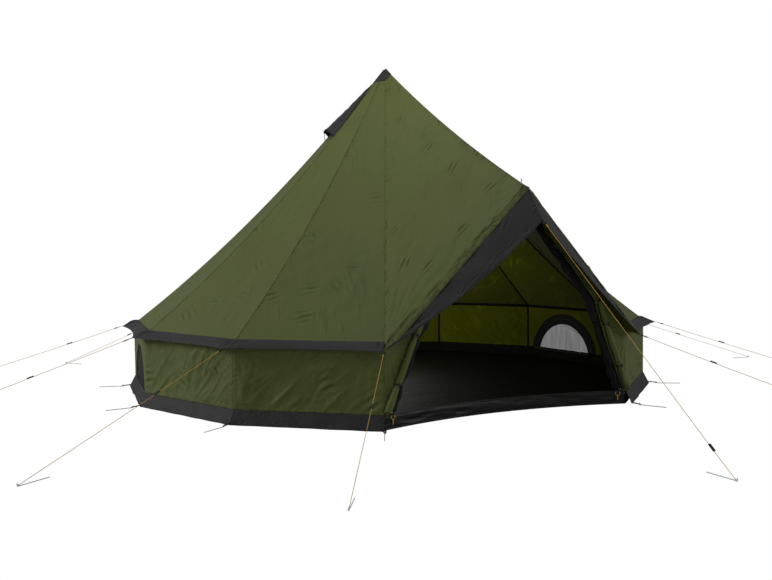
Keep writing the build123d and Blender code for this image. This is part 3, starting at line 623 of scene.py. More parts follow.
def wall_shift(u, w, seed):
    """How far a wall panel stands out from its plane, and the distance from its nearest seam."""
    lay = np.stack([u, w], -1)
    edge = np.maximum(wall_half_width - np.abs(u), 0.0)
    foot = np.maximum(w - skirt_height, 0.0)
    hold = smooth_step(edge, 0.0, 0.10) * smooth_step(foot, 0.0, 0.06)
    hold = hold * smooth_step(eave_height - w, -0.01, 0.05)
    belly = np.cos(u / wall_half_width * math.pi / 2.0)
    belly = belly * np.sin(foot / (eave_height - skirt_height) * math.pi)
    wave = 0.006 * drift(lay, 0.34, seed) + 0.011 * folds(lay, 0.16, 46.0, seed + 1, 0.26)
    wave = wave - 0.006 * folds(lay, 0.15, 30.0, seed + 2) + 0.006 * folds(lay, 0.08, 50.0, seed + 4, 0.28)
    wave = wave + 0.0045 * folds(lay, 0.07, 8.0, seed + 5, 0.3)
    pulls = 0.0
    for side in (-1.0, 1.0):
        pulls = pulls + 0.005 * fan(lay, (side * wall_half_width, eave_height), 22.0, 0.16)
    pucker = 0.0016 * drift(lay, 0.035, seed + 3) * np.exp(-np.minimum(edge, foot) / 0.03)
    shift = -0.010 * belly + wave * hold + pulls * smooth_step(edge, 0.0, 0.03)
    return shift + pucker * smooth_step(edge, 0.0, 0.008), np.minimum(edge, foot)


def wall_spots(index, u, w, shift):
    """Points of a wall panel, shifted out from its plane."""
    return spots_at(panel_middle(index), wall_apothem + shift, u, w)


wall_olive = cloth_finish("olive wall cloth", srgb(93, 102, 48), srgb(80, 89, 39), creases=1.3, lean=0.75,
                          groups=1.2, by_panel=3.73)
wall_pieces = []
for index in range(11):
    if index not in window_panels.values():
        w, u = grid((skirt_height - 0.003, eave_height + 0.006, 46), (-wall_half_width, wall_half_width, 84))
        shift, edge = wall_shift(u, w, 300 + index * 7)
        spots = wall_spots(index, u, w, shift)
        wall_pieces.append(patch(f"wall_{index}", spots, np.stack([u, w], -1), wall_olive, edge))
walls = join("wall_cloth", wall_pieces)
thicken(walls, cloth_thickness, olive_inside)
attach(walls, "tent")
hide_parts("wall_panels")

# --- Window walls ---
# The two panels square to the door have a half-moon cut out above the sill. The cloth is turned in and
# stitched to a black border outside and inside.
window_finish = cloth_finish("black border cloth", srgb(22, 22, 22), srgb(12, 12, 12), creases=0.4,
                             groups=0.2, specular=0.12)
window_middle = np.array([0.0, window_sill + 0.08])


def half_moon(radius, sill, count):
    """Points once round a half-moon, from the sill's left end along the sill and back over the arch."""
    reach = math.sqrt(radius ** 2 - (sill - window_centre) ** 2)
    rise = math.asin((sill - window_centre) / radius)
    flat = np.stack([np.linspace(-reach, reach, count // 3, endpoint=False), np.full(count // 3, sill)], -1)
    turns = np.linspace(rise, math.pi - rise, count - count // 3, endpoint=False)
    arch = np.stack([radius * np.cos(turns), window_centre + radius * np.sin(turns)], -1)
    return np.concatenate([flat, arch])


def box_round(points, low, high):
    """Where rays from the window's middle through the points meet the panel's edges."""
    ways = points - window_middle
    limits = np.where(ways > 0, (np.array(high) - window_middle) / np.maximum(ways, 1e-9),
                      (np.array(low) - window_middle) / np.minimum(ways, -1e-9))
    return window_middle + ways * np.min(limits, axis=-1)[:, None]


for side, index in window_panels.items():
    inner = half_moon(window_radius, window_sill, 168)
    outer = box_round(inner, (-wall_half_width, skirt_height), (wall_half_width, eave_height + 0.003))
    lay = blend(outer[None], inner[None], np.linspace(0.0, 1.0, 22)[:, None, None] ** 1.2)
    u, w = lay[..., 0], lay[..., 1]
    shift, edge = wall_shift(u, w, 420 + index)
    shift = shift * smooth_step(np.hypot(u, w - window_centre) - window_radius, 0.090, 0.19)
    hem = np.minimum(edge, np.hypot(*(inner[None] - lay).transpose(2, 0, 1)))
    made = patch(f"window_wall_cloth_{side}", wall_spots(index, u, w, shift), lay, wall_olive, hem,
                 round_lay=(0.0, 0.0))
    thicken(made, cloth_thickness, olive_inside)
    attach(made, "tent")
    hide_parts(f"window_wall_{side}")

# --- Window borders and nets ---
# A broad black border frames each half-moon inside, with the cover's zip along its arch; a narrow one
# binds the cut outside. The net is fine black polyester mesh that shows the light through it.


def arch_band(name, index, inner_radius, outer_radius, sill, stand, wave, flip=False):
    """A ring of black cloth round a half-moon window, on the inner or outer face of the wall."""
    lay = np.array([half_moon(inner_radius + (outer_radius - inner_radius) * share,
                              sill + (window_sill - sill) * (1.0 - share), 150)
                    for share in np.linspace(1.0, 0.0, 7)])
    from_centre = np.hypot(lay[..., 0], lay[..., 1] - window_centre)
    edge = np.abs(np.minimum(from_centre - inner_radius, outer_radius - from_centre))
    spots = wall_spots(index, lay[..., 0], lay[..., 1], stand + wave * drift(lay, 0.07, index))
    if flip:
        spots, lay, edge = spots[::-1], lay[::-1], edge[::-1]
    return patch(name, spots, lay, window_finish, edge, round_lay=(0.0, 0.0))


net_finish, tree, shader = finish_named("black mosquito net", srgb(40, 40, 42), 0.75)
lay = node(tree, "ShaderNodeUVMap", output="UV", uv_map="lay")
holes = pattern(tree, "Voronoi", lay, Scale=620.0)
tint(tree, shader, holes, srgb(60, 60, 62), srgb(30, 30, 32))
wires = {"Vector": lay, "Scale": (1.0, 0.16, 1.0), "Rotation": (0.0, 0.0, 0.12)}
ripples = pattern(tree, "Noise", node(tree, "ShaderNodeMapping", wires), Scale=24.0, Detail=2.0)
emboss(tree, shader, ripples, 0.5, 0.010)
tree.links.new(ripples.ramp(0.36, 0.64, 0.575, 0.645).socket, shader.inputs["Alpha"])

nets = []
for side, index in window_panels.items():
    band = arch_band(f"window_border_{side}", index, window_radius - 0.004, window_radius + 0.085,
                     skirt_height + 0.002, -0.0036, 0.0008, flip=True)
    thicken(band, 0.0012, offset=1.0)
    binding = arch_band(f"window_binding_{side}", index, window_radius - 0.006, window_radius + 0.034,
                        window_sill - 0.011, 0.0006, 0.0006)
    thicken(binding, 0.0010, offset=1.0)
    for piece in (band, binding):
        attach(piece, "tent")
    if side == "right":
        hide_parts("window_borders")
    rim = half_moon(window_radius - 0.002, window_sill + 0.001, 120)
    share = np.linspace(0.0, 0.9995, 16)[:, None, None]
    lay = blend(rim[None], window_middle, share)
    held = np.sin(share[..., 0] * math.pi * 0.5 + 0.1)
    sag = 0.004 * drift(lay, 0.16, 91 + index, squash=(1.0, 0.3)) * held
    spots = wall_spots(index, lay[..., 0], lay[..., 1], sag - 0.0018)
    nets.append(patch(f"window_net_{side}", spots, lay, net_finish, round_lay=(0.0, 0.0)))


def vent_flap(corner, half):
    """The net under one side of a ridge vent, a little wider than the opening but kept under the roof."""
    reach, share = grid((0.432, 0.183, 26), (0.0, 1.0, 12))
    widest = np.minimum(0.084, (reach - 0.099) * 0.633 - 0.004)
    gap = 0.006 + share * (widest - 0.006)
    sway = half * (gap - reach * math.tan(half_panel))
    rise = ridge_height(reach / math.cos(half_panel)) - 0.0042
    spots = spots_at(panel_middle(corner if half > 0 else corner - 1), reach, sway, rise)
    lay = np.stack([sway, reach * -1.42], -1)
    return (spots, lay) if half > 0 else (spots[:, ::-1], lay[:, ::-1])


for corner in (3, 8):
    for half in (-1.0, 1.0):
        nets.append(patch("vent_net", *vent_flap(corner, half), net_finish))
netting = join("nets", nets)
thicken(netting, 0.0006, offset=0.0)
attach(netting, "tent")
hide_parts("mesh_screens")

# --- Mud skirt ---
# A broad strip of dark coated cloth sewn to the wall's foot, spread outwards on the ground and pulled
# tight at each corner by its webbing loop.
dark_cloth = cloth_finish("dark grey trim cloth", srgb(48, 48, 50), srgb(36, 36, 38), creases=0.3,
                          gathers=0.4, groups=0.3)
dark_inside = cloth_finish("dark trim inner face", srgb(26, 27, 26), srgb(16, 17, 16), creases=0.4,
                           groups=0.2)


def ring_strip(name, low, high, seed, wave, finish, rows=14, hollow=0.0, gather=0.0, bulge=0.0):
    """A strip of cloth round the tent between two corner radii and heights, cut in panels at the corners."""
    run, climb = high[0] - low[0], high[1] - low[1]
    depth = math.hypot(run, climb)
    share, across = grid((0.0, 1.0, rows), (-1.0, 1.0, 72))
    across = np.sin(across * math.pi / 2.0)
    radius = low[0] + run * share
    u = across * radius * math.sin(half_panel)
    lay = np.stack([u, share * depth], -1)
    side = np.maximum(radius * math.sin(half_panel) - np.abs(u), 0.0)
    hold = smooth_step(side, 0.0, 0.03)
    apothem = radius * math.cos(half_panel) - hollow * (1.0 - share) * (1.0 - across ** 2)
    edge = np.minimum(side, np.minimum(lay[..., 1], lay[-1, 0, 1] - lay[..., 1]))
    made = []
    for index in range(11):
        shift = wave * drift(lay, 0.22, seed + index) * hold * (1.0 - 0.7 * share)
        pleats = drift(np.stack([side, lay[..., 1] * 0.15], -1), 0.030, seed + 40 + index)
        pulled = gather * np.exp(-side / 0.10) * pleats * hold * smooth_step(share, 1.0, 0.8)
        shift = shift + pulled * (0.5 + 0.5 * share)
        shift = shift + bulge * np.sin(share * math.pi) * hold
        spots = spots_at(panel_middle(index), apothem + shift * abs(climb / depth), u,
                         low[1] + climb * share + shift * abs(run / depth))
        made.append(patch(name, spots, lay, finish, edge))
    return join(name, made)


skirt = ring_strip("mud_skirt_cloth", (2.000, 0.0022), (wall_radius, skirt_height), 510, 0.004, dark_cloth,
                   gather=0.0015)
thicken(skirt, cloth_thickness, dark_inside)
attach(skirt, "tent")
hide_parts("mud_skirt")

# --- Eave band ---
# A dark grey strip sewn over the roof's foot that runs out past the wall to a tip at each corner. Its
# outer edge is cut hollow, so the guy lines pull it into gathers beside the corners.
band = ring_strip("eave_band_cloth", (2.044, 0.4668), (1.922, ridge_height(1.922) + 0.0016), 610, 0.0015,
                  dark_cloth, hollow=0.034, gather=0.010, bulge=0.005)
thicken(band, cloth_thickness, dark_inside)
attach(band, "tent")
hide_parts("eave_band")

# --- Door roof ---
# The two cloths between the front ridge and the door corners. Each is a flat-cut triangle that creases
# out of its pulled corner, and its front edge is turned down in a broad hem over the visor's seam.
front_run = 1.880
front_foot_height = 1.410
front_sag = 0.046
roof_top_radius = 0.06


def front_height(radius):
    """The height of the front ridge's hanging curve at a distance from the pole."""
    share = radius / front_run
    return apex_height + (front_foot_height - apex_height) * share - 4.0 * front_sag * share * (1.0 - share)


def unit(way):
    """A direction, or a row of them, one long."""
    return way / np.linalg.norm(way, axis=-1, keepdims=True)


visor_peak = np.array([0.0, -1.8803, 1.410])
visor_corner = polar(door_half_angle, 2.044, 0.46924)
visor_low = np.array([0.0, -2.040, 1.200])
visor_outward = unit(np.cross(visor_low - visor_peak, visor_corner - visor_peak))
visor_outward = visor_outward if visor_outward[1] < 0 else -visor_outward
hem_profile = [(0.0030, -0.0016), (0.0050, 0.0012), (0.0056, 0.0065), (0.0052, 0.0130), (0.0046, 0.0195),
               (0.0036, 0.0250)]
door_olive = cloth_finish("olive door roof cloth", srgb(93, 102, 48), srgb(80, 89, 39), gathers=0.9,
                          lean=-0.6)


def downhill(way):
    """The direction down the visor's face, square to a way along it."""
    down = unit(np.cross(visor_outward, way))
    return -down if down[2] > 0 else down


def for_side(side, spots, lay, edge):
    """A right half's surface as it is, or its mirror image for the left."""
    if side > 0:
        return spots, lay, edge
    return (spots * np.array([-1.0, 1.0, 1.0]))[:, ::-1], lay[:, ::-1], edge[:, ::-1]


def door_roof(side):
    """One side's cloth, from the pole's top down to the front edge, and on round the turned hem."""
    rows = np.concatenate([np.linspace(0.0, 1.0, 92), 1.0 + np.linspace(0.01, 1.0, 10)])
    columns = np.linspace(0.0, 1.0, 64)
    main, lip = np.clip(rows, 0.0, 1.0), np.clip(rows - 1.0, 0.0, 1.0)
    front_radius = roof_top_radius + (1.855 - roof_top_radius) * main + 0.025 * lip
    side_radius = roof_top_radius + (ridge_run - roof_top_radius) * main + 0.089 * lip
    side_height = np.where(lip > 0, roof_foot_height + (visor_corner[2] - roof_foot_height) * lip,
                           ridge_height(np.minimum(side_radius, ridge_run)))
    front = np.stack([0.0 * main, -front_radius, front_height(front_radius)], -1)
    corner = np.stack([polar(door_half_angle, *spot) for spot in zip(side_radius, side_height)])
    spots = blend(front[:, None], corner[:, None], columns[None, :, None])
    width = np.linalg.norm(corner - front, axis=1)
    fallen = np.broadcast_to(0.06 + 1.86 * rows[:, None], spots.shape[:2])
    lay = np.stack([columns[None] * width[:, None], -1.3 * fallen], -1)
    outward = unit(np.cross(corner[60] - corner[30], front[60] - corner[30]))
    outward = outward if outward[2] > 0 else -outward
    edge = np.minimum(columns[None] * width[:, None], (1.0 - columns[None]) * width[:, None])
    hold = smooth_step(edge, 0.0, 0.07) * smooth_step((2.0 - rows)[:, None] * 0.9, 0.0, 0.11)
    foot = float(lay[90, 0, 1])
    creases = 0.008 * drift(lay, 0.5, 710) + 0.008 * folds(lay, 0.13, 52.0, 712)
    creases = creases - 0.005 * folds(lay, 0.11, -62.0, 714) + 0.0045 * folds(lay, 0.06, 74.0, 715)
    creases = creases + 0.003 * folds(lay, 0.045, 40.0, 717)
    shift = -0.010 * np.sin(columns * math.pi)[None] * np.sin(main * math.pi)[:, None] + hold * creases
    shift = shift + 0.013 * fan(lay, (float(width[90]), foot), 26.0, 0.45, 2.0) * hold
    shift = shift + 0.006 * fan(lay, (0.0, foot), 16.0, 0.30) * hold
    shift = shift + 0.0022 * drift(lay, 0.045, 716) * np.exp(-edge / 0.03) * smooth_step(edge, 0.0, 0.006)
    spots = spots + outward * shift[..., None]

    down = downhill(visor_corner - visor_peak)
    room = smooth_step(columns, 1.0, 0.90)[:, None]
    hem, hem_lay = [], []
    for step, (out, fall) in enumerate(hem_profile):
        sway = 0.0008 * drift(np.stack([lay[-1, :, 0], np.full(64, fall)], -1), 0.08, 718)[:, None]
        hem.append(spots[-1] + (visor_outward * (out + sway) + down * fall * (0.15 + 0.85 * room)))
        hem_lay.append(lay[-1] - np.array([0.0, 0.003 * (step + 1)]))
    spots, lay = np.concatenate([spots, hem]), np.concatenate([lay, hem_lay])
    edge = np.concatenate([edge, np.minimum(edge[-1:], 0.002) * np.ones((len(hem), 1))])
    spots, lay, edge = for_side(side, spots[::-1], lay[::-1], edge[::-1])
    return patch("door_roof_cloth", spots, lay, door_olive, edge)


door_cloth = join("door_roof_cloth", [door_roof(1.0), door_roof(-1.0)])
thicken(door_cloth, cloth_thickness, olive_inside)
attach(door_cloth, "tent")
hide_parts("door_roof_panels")

# --- Visor ---
# Two dark grey cloths sewn under the door roof's front edge. They meet in a seam that the front guy line
# pulls out and down, and their lower edges are cut hollow and hemmed.
visor_hollow = 0.045
visor_length = 1.3


def visor_half(side):
    """One side's cloth, from its hollow lower hem up to the door roof's edge."""
    share, across = grid((0.0, 1.0, 26), (0.0, 1.0, 90))
    low_edge = visor_low + (visor_corner - visor_low) * across[..., None]
    hollow = (visor_hollow * 4.0 * across * (1.0 - across))[..., None]
    low_edge = low_edge + downhill(visor_corner - visor_low) * hollow
    high_edge = visor_peak + (visor_corner - visor_peak) * across[..., None]
    height = share * np.linalg.norm(high_edge - low_edge, axis=-1)
    lay = np.stack([across * visor_length, height], -1)
    hold = smooth_step(across, 0.0, 0.05) * smooth_step(1.0 - across, 0.0, 0.06)
    creases = 0.004 * drift(lay, 0.30, 810) + 0.003 * folds(lay, 0.16, 30.0, 812)
    shift = 0.0014 + hold * creases * np.sin(share * math.pi) ** 0.5
    shift = shift + 0.002 * np.exp(-((height - 0.012) / 0.006) ** 2) * hold
    spots = blend(low_edge, high_edge, share[..., None]) + visor_outward * shift[..., None]
    edge = np.minimum(np.abs(height - 0.020) + 0.001, np.abs(across * visor_length))
    spots, lay, edge = for_side(side, spots, lay, edge)
    return patch("visor_cloth", spots, lay, dark_cloth, edge)


visor = join("visor_cloth", [visor_half(1.0), visor_half(-1.0)])
thicken(visor, cloth_thickness, dark_inside)
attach(visor, "tent")
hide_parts("door_visor")

# --- Peak cap ---
# A small dark hat of thirteen sewn cloths over the top of the roof, with a stiff button where the pole's
# crown pushes up.
button_radius = 0.0145
cap_stand = 0.0046
cap_girth = 0.09
cap_lines = [(angle, ridge_height) for angle in corner_angles] + [(360.0, front_height)]
cap_radii = np.concatenate([np.linspace(0.096, 0.015, 20), [0.0135, 0.011, 0.008, 0.005, 0.001]])
spots, lay, edges = [], [], []
for number, (angle, rise) in enumerate(cap_lines):
    next_angle, next_rise = cap_lines[(number + 1) % 13]
    next_angle += 360.0 if next_angle < angle else 0.0
    for share in np.linspace(0.0, 1.0, 9)[:-1]:
        column = []
        for radius in cap_radii:
            kept = max(radius, button_radius)
            spot = blend(polar(angle, radius, rise(kept)), polar(next_angle, radius, next_rise(kept)), share)
            crown = 0.0 if radius > button_radius else 0.0008 * (1.0 - (radius / button_radius) ** 2)
            sag = -0.0012 * math.sin(share * math.pi) * min(1.0, radius / 0.04)
            column.append(spot + np.array([0.0, 0.0, cap_stand + crown + sag]))
        spots.append(column)
        gone = math.radians(angle + (next_angle - angle) * share) * cap_girth
        lay.append([(gone, -radius) for radius in cap_radii])
        near = min(share, 1.0 - share) * 0.5
        edges.append([min(near * radius, abs(radius - 0.088) + 0.001) for radius in cap_radii])
spots, lay, edges = (np.array(values).swapaxes(0, 1) for values in (spots, lay, edges))
cap = patch("peak_cap_cloth", spots, lay, dark_cloth, edges, round_lay=(2.0 * math.pi * cap_girth, 0.0))
thicken(cap, 0.0014, dark_inside)
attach(cap, "tent")
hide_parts("peak_cap")

# --- Vent hoods ---
# A dark pleat stands over each vented ridge. It grows out of the cap, its lip is rolled round a soft
# cord, and the nylon prop under the lip holds it open.
hood_peak, hood_lip, hood_foot = 0.102, 0.484, 0.470
hood_rise = 0.092
hood_cord = 0.0055
hoods = []
for corner in (3, 8):
    peak = polar(corner_angles[corner], hood_peak, ridge_height(hood_peak) + 0.004)
    lip = polar(corner_angles[corner], hood_lip, ridge_height(hood_lip) + hood_rise + 0.003)
    feet = [polar(corner_angles[corner + way], hood_foot, ridge_height(hood_foot) + 0.004) for way in (-1, 1)]
    rows, columns = grid((0.0, 1.0, 44), (-1.0, 1.0, 61))
    foot = np.where(columns[..., None] < 0, feet[0], feet[1])
    rounding = -0.020 * np.exp(-(columns / 0.16) ** 2) + 0.012 * np.sin(np.abs(columns) * math.pi)
    spots = blend(blend(lip, foot, np.abs(columns)[..., None]), peak, rows[..., None])
    spots = spots + up * (rounding * (1.0 - rows))[..., None]
    lay = np.stack([columns * 0.24 * (1.0 - rows), rows * 0.55], -1)
    crease = 0.004 * drift(lay, 0.10, 830 + corner) + 0.004 * folds(lay, 0.09, 20.0, 840 + corner)
    hold = smooth_step(1.0 - np.abs(columns), 0.0, 0.12) * smooth_step(1.0 - rows, 0.0, 0.2)
    spots = spots + up * (crease * hold)[..., None]
    outward = polar(corner_angles[corner], 1.0)
    roll, roll_lay = [], []
    for step, turn in enumerate(np.linspace(math.radians(300.0), 0.0, 9)[:-1]):
        curl = hood_cord * np.array([math.cos(turn), math.sin(turn) - 0.2])
        roll.append(spots[0] + outward * curl[0] + up * (curl[1] - 0.002))
        roll_lay.append(lay[0] - np.array([0.0, 0.004 * (8 - step)]))
    spots, lay = np.concatenate([roll, spots]), np.concatenate([roll_lay, lay])
    edge = np.minimum(np.abs(lay[..., 1] - 0.014) + 0.001, 0.02 + np.abs(lay[..., 0]))
    hoods.append(patch("hood", spots, lay, dark_cloth, edge))
hood = join("vent_hood_cloth", hoods)
thicken(hood, cloth_thickness, dark_inside)
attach(hood, "tent")
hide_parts("vent_hoods")

# --- Door walls ---
# The upright front wall is cut away for the door, so only a strip of olive cloth is left: beside each
# jamb, and in a band under the roof up to the peak. The corner's pull creases it on the bias.
corner_x, corner_y = 0.8897, -1.7408
gable_top, gable_pitch, gable_lean, strip_depth = 1.4168, 1.0532, 0.1218, 0.0799
jamb_foot, jamb_knee = (0.8647, 0.0903), (0.6048, 0.700)
band_low = gable_top - strip_depth


def gable_plane(height):
    """How far forward the front wall stands at a height."""
    return corner_y - gable_lean * np.maximum(0.0, height - eave_height)


def door_wall(side):
    """One side's strip of cloth, from its foot up to the peak."""
    rows = np.linspace(0.0, 1.0, 150)
    columns = np.linspace(0.0, 1.0, 26)
    inner_path = (0.0, *jamb_foot), (0.50, *jamb_knee), (1.0, 0.0, band_low)
    outer_path = (0.0, corner_x, jamb_foot[1]), (0.39, corner_x, eave_height), (1.0, 0.0, gable_top)
    inner, outer = (np.stack([np.interp(rows, stops, values) for values in (x, z)], -1)
                    for stops, x, z in (zip(*inner_path), zip(*outer_path)))
    flat = blend(inner[:, None], outer[:, None], columns[None, :, None])
    width = np.linalg.norm(outer - inner, axis=1)[:, None]
    edge = np.minimum(columns[None] * width, (1.0 - columns[None]) * width)
    low = np.minimum(flat[..., 1] - 0.09, 0.35) / 0.35
    creases = 0.006 * drift(flat, 0.22, 850) + 0.010 * folds(flat, 0.11, 34.0, 852) * low
    shift = smooth_step(edge, 0.0, 0.035) * (creases - 0.006 * folds(flat, 0.13, -28.0, 854) * low)
    pull = fan(flat, (corner_x, eave_height), 24.0, 0.20, 1.0)
    shift = shift + 0.009 * pull * smooth_step(edge, 0.0, 0.02)
    shift = shift + 0.0016 * drift(flat, 0.03, 856) * np.exp(-edge / 0.02)
    spots = np.stack([flat[..., 0], gable_plane(flat[..., 1]) - shift, flat[..., 1]], -1)
    spots, lay, edge = for_side(side, spots, flat * np.array([side, 1.0]), edge)
    return patch("door_wall_cloth", spots, lay, olive, edge)


door_walls = join("door_wall_cloth", [door_wall(1.0), door_wall(-1.0)])
thicken(door_walls, cloth_thickness, olive_inside)
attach(door_walls, "tent")
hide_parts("door_walls")

# --- Groundsheet ---
# Heavy black polyethylene with a welded upstand all round, so that water stays out. Feet and weather
# leave it slightly wrinkled, and it shines a little at a low angle.
tub_radius = 1.9516
threshold_centre, threshold_radius, threshold_half = -4.292065, 2.7035, 0.8879
arc_half = math.asin(threshold_half / threshold_radius)
floor_sheet = grained("black groundsheet", srgb(10, 10, 5), 0.8, "Noise",
                      {"Scale": 9.0, "Detail": 5.0, "Roughness": 0.6}, srgb(14, 14, 6), srgb(5, 5, 2),
                      relief=(0.4, 0.01), rough=(0.60, 0.85), specular=0.08)


def spread(*values):
    """Points from their separate coordinates, each stretched over the whole grid."""
    return np.stack(np.broadcast_arrays(*values), -1)


def doorway(turn, rise, shift=0.0):
    """Points along the doorway's curved edge, at a rise from the ground."""
    reach = threshold_radius + shift
    return spread(np.sin(turn) * reach, threshold_centre + np.cos(turn) * reach, rise)


outline = []
for start, stop in zip(corner_angles[:-1], corner_angles[1:]):
    start, stop = polar(start, tub_radius), polar(stop, tub_radius)
    outline += [start + (stop - start) * share for share in np.linspace(0.0, 1.0, 17)[:-1]]
outline = np.concatenate([outline, doorway(np.linspace(-arc_half, arc_half, 41)[:-1], 0.0)])
share = np.linspace(1.0, 0.004, 44)[:, None, None]
spots = outline[None] * share
spots[..., 2] = 0.0012 + 0.0008 * (drift(spots[..., :2], 0.30, 901) + 1.0) * (1.0 - share[..., 0] ** 12)
floor_cloth = patch("groundsheet_cloth", spots, spots[..., :2].copy(), floor_sheet, round_lay=(0.0, 0.0))
thicken(floor_cloth, 0.0008)
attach(floor_cloth, "tent")
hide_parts("groundsheet")

upstand = ring_strip("groundsheet_upstand", (tub_radius, 0.0004), (tub_radius + 0.001, 0.0955), 910, 0.003,
                     floor_sheet)
thicken(upstand, 0.0010)
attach(upstand, "tent")
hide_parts("groundsheet_tub_wall")

# --- Door threshold ---
# The groundsheet's upstand across the doorway, of the same glossy sheet, crumpled by feet. The door's
# zip runs along its top edge, where the sheet is held flat for the sliders.
sill_low, sill_top = 0.0024, 0.0895
inward_limit = 0.0032
sill_finish, tree, shader = finish_named("glossy threshold sheet", srgb(16, 16, 15), 0.42, specular=0.30)
lay = node(tree, "ShaderNodeUVMap", output="UV", uv_map="lay")
drawn_long = node(tree, "ShaderNodeMapping", {"Vector": lay, "Scale": (0.12, 1.0, 1.0)})
crumple = pattern(tree, "Noise", drawn_long, Scale=60.0, Detail=4.0, Roughness=0.6, Distortion=0.8)
tint(tree, shader, crumple, srgb(20, 20, 18), srgb(12, 12, 11))
emboss(tree, shader, crumple, 0.45, 0.006)

rise, turn = grid((sill_low, sill_top, 16), (-arc_half, arc_half, 150))
lay = np.stack([turn * threshold_radius, rise], -1)
shift = 0.003 * drift(lay, 0.16, 920, squash=(0.4, 1.0)) + 0.002 * drift(lay, 0.05, 921, squash=(0.25, 1.0))
shift = np.sin((rise - sill_low) / (sill_top - sill_low) * math.pi) * shift - 0.002
shift = shift * (1.0 - smooth_step(rise, 0.066, 0.083))
shift = np.where(shift < 0.0, inward_limit * np.tanh(shift / inward_limit), shift)
shift = shift + 0.0016 * np.exp(-((rise - 0.080) / 0.0045) ** 2)
shift = shift + 0.0014 * np.exp(-((rise - 0.012) / 0.005) ** 2)
edge = np.minimum(np.abs(sill_top - rise - 0.016) + 0.001, 0.02)
sill = patch("threshold_cloth", doorway(turn, rise, shift - 0.0006), lay, sill_finish, edge)
thicken(sill, 0.0012, offset=0.0)
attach(sill, "tent")
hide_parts("door_threshold")

# --- Rolled door cloths ---
# The door's two halves are rolled outwards and tied back beside the jambs, olive outside. The two net
# halves behind them are rolled the same way, inside, and drawn thick and bunched, so their black also
# covers the edge of the door-wall strip that the visor shades: partly real net, partly painted shade.
# Loops with toggles pinch each roll in two places.
roll_turns = 3.2
tie_way = np.array([0.97, 0.0, 0.24])
forward = np.array([0.0, 1.0, 0.0])


def jamb_line(height):
    """How far a jamb stands from the door's middle at a height."""
    share = (height - jamb_foot[1]) / (jamb_knee[1] - jamb_foot[1])
    return jamb_foot[0] + (jamb_knee[0] - jamb_foot[0]) * share


def close_ends(piece):
    """Closes the pinholes left where a skin gathers to its ends."""
    shell = bmesh.new()
    shell.from_mesh(piece.data)
    bmesh.ops.holes_fill(shell, edges=[edge for edge in shell.edges if edge.is_boundary], sides=0)
    shell.to_mesh(piece.data)
    shell.free()
    return piece


def at_end(grid, row, end):
    """A grid with one more row before it or after it."""
    return np.concatenate([row[None], grid] if end == 0 else [grid, row[None]])


def roll_up(name, path, radius, finish, ties, taper=0.75, seed=0, side=1.0, puff=0.18):
    """A loosely rolled cloth along a path: a crumpled skin, pinched at its ties, with spiral ends."""
    path = np.array(path)
    gone = np.concatenate([[0.0], np.cumsum(np.linalg.norm(np.diff(path, axis=0), axis=1))])
    rows = np.linspace(0.0, gone[-1], 96)
    spine = np.stack([np.interp(rows, gone, values) for values in path.T], -1)
    for _ in range(30):
        spine[1:-1] = (spine[:-2] + spine[2:] + 2.0 * spine[1:-1]) / 4.0
    along = unit(np.gradient(spine, axis=0))
    first = unit(np.cross(along, forward))
    second = np.cross(first, along)
    around = np.linspace(0.0, 2.0 * math.pi, 40, endpoint=False)
    pinch = np.ones(len(rows))
    for tie in ties:
        pinch = pinch - 0.30 * np.exp(-((rows - tie) / 0.016) ** 2)
    girth = radius * (1.0 - (1.0 - taper) * (rows / gone[-1])) * pinch
    lay = spread(around[None] * radius, rows[:, None])
    lap = np.clip((around - 2.2) / 0.35, 0.0, 1.0)
    circle = np.cos(around)[None] * 0.1, np.sin(around)[None] * 0.1
    crumple = 1.0 + puff * (0.5 * drift(spread(*circle, rows[:, None] * 0.6), 0.09, seed)
                            + 0.35 * drift(spread(*circle, rows[:, None] * 0.2), 0.05, seed + 1))
    size = girth[:, None] * crumple * (0.93 - 0.07 * lap[None])
    spots = spine[:, None] + first[:, None] * (np.cos(around)[None] * size)[..., None]
    spots = spots + second[:, None] * (np.sin(around)[None] * size)[..., None]
    for end, way in ((0, -1.0), (-1, 1.0)):
        middle, rim, foot = spine[end], spots[end].copy(), lay[end, 0, 1]
        for share in (0.94, 0.86, 0.74, 0.62, 0.50, 0.38, 0.26, 0.14, 0.01):
            spiral = np.sin(2.0 * math.pi * roll_turns * share + around) * min(1.0, (1.0 - share) * 6.0)
            depth = 0.22 * radius * spiral[:, None] + 0.12 * radius
            spots = at_end(spots, middle + (rim - middle) * share + along[end] * way * depth, end)
            lay = at_end(lay, spread(around * radius, foot + way * radius * (1.0 - share)), end)
    if side > 0:
        spots, lay = spots[:, ::-1], lay[:, ::-1]
    return close_ends(patch(name, spots * np.array([side, 1.0, 1.0]), lay, finish, round_lay=(0.0, 0.0)))


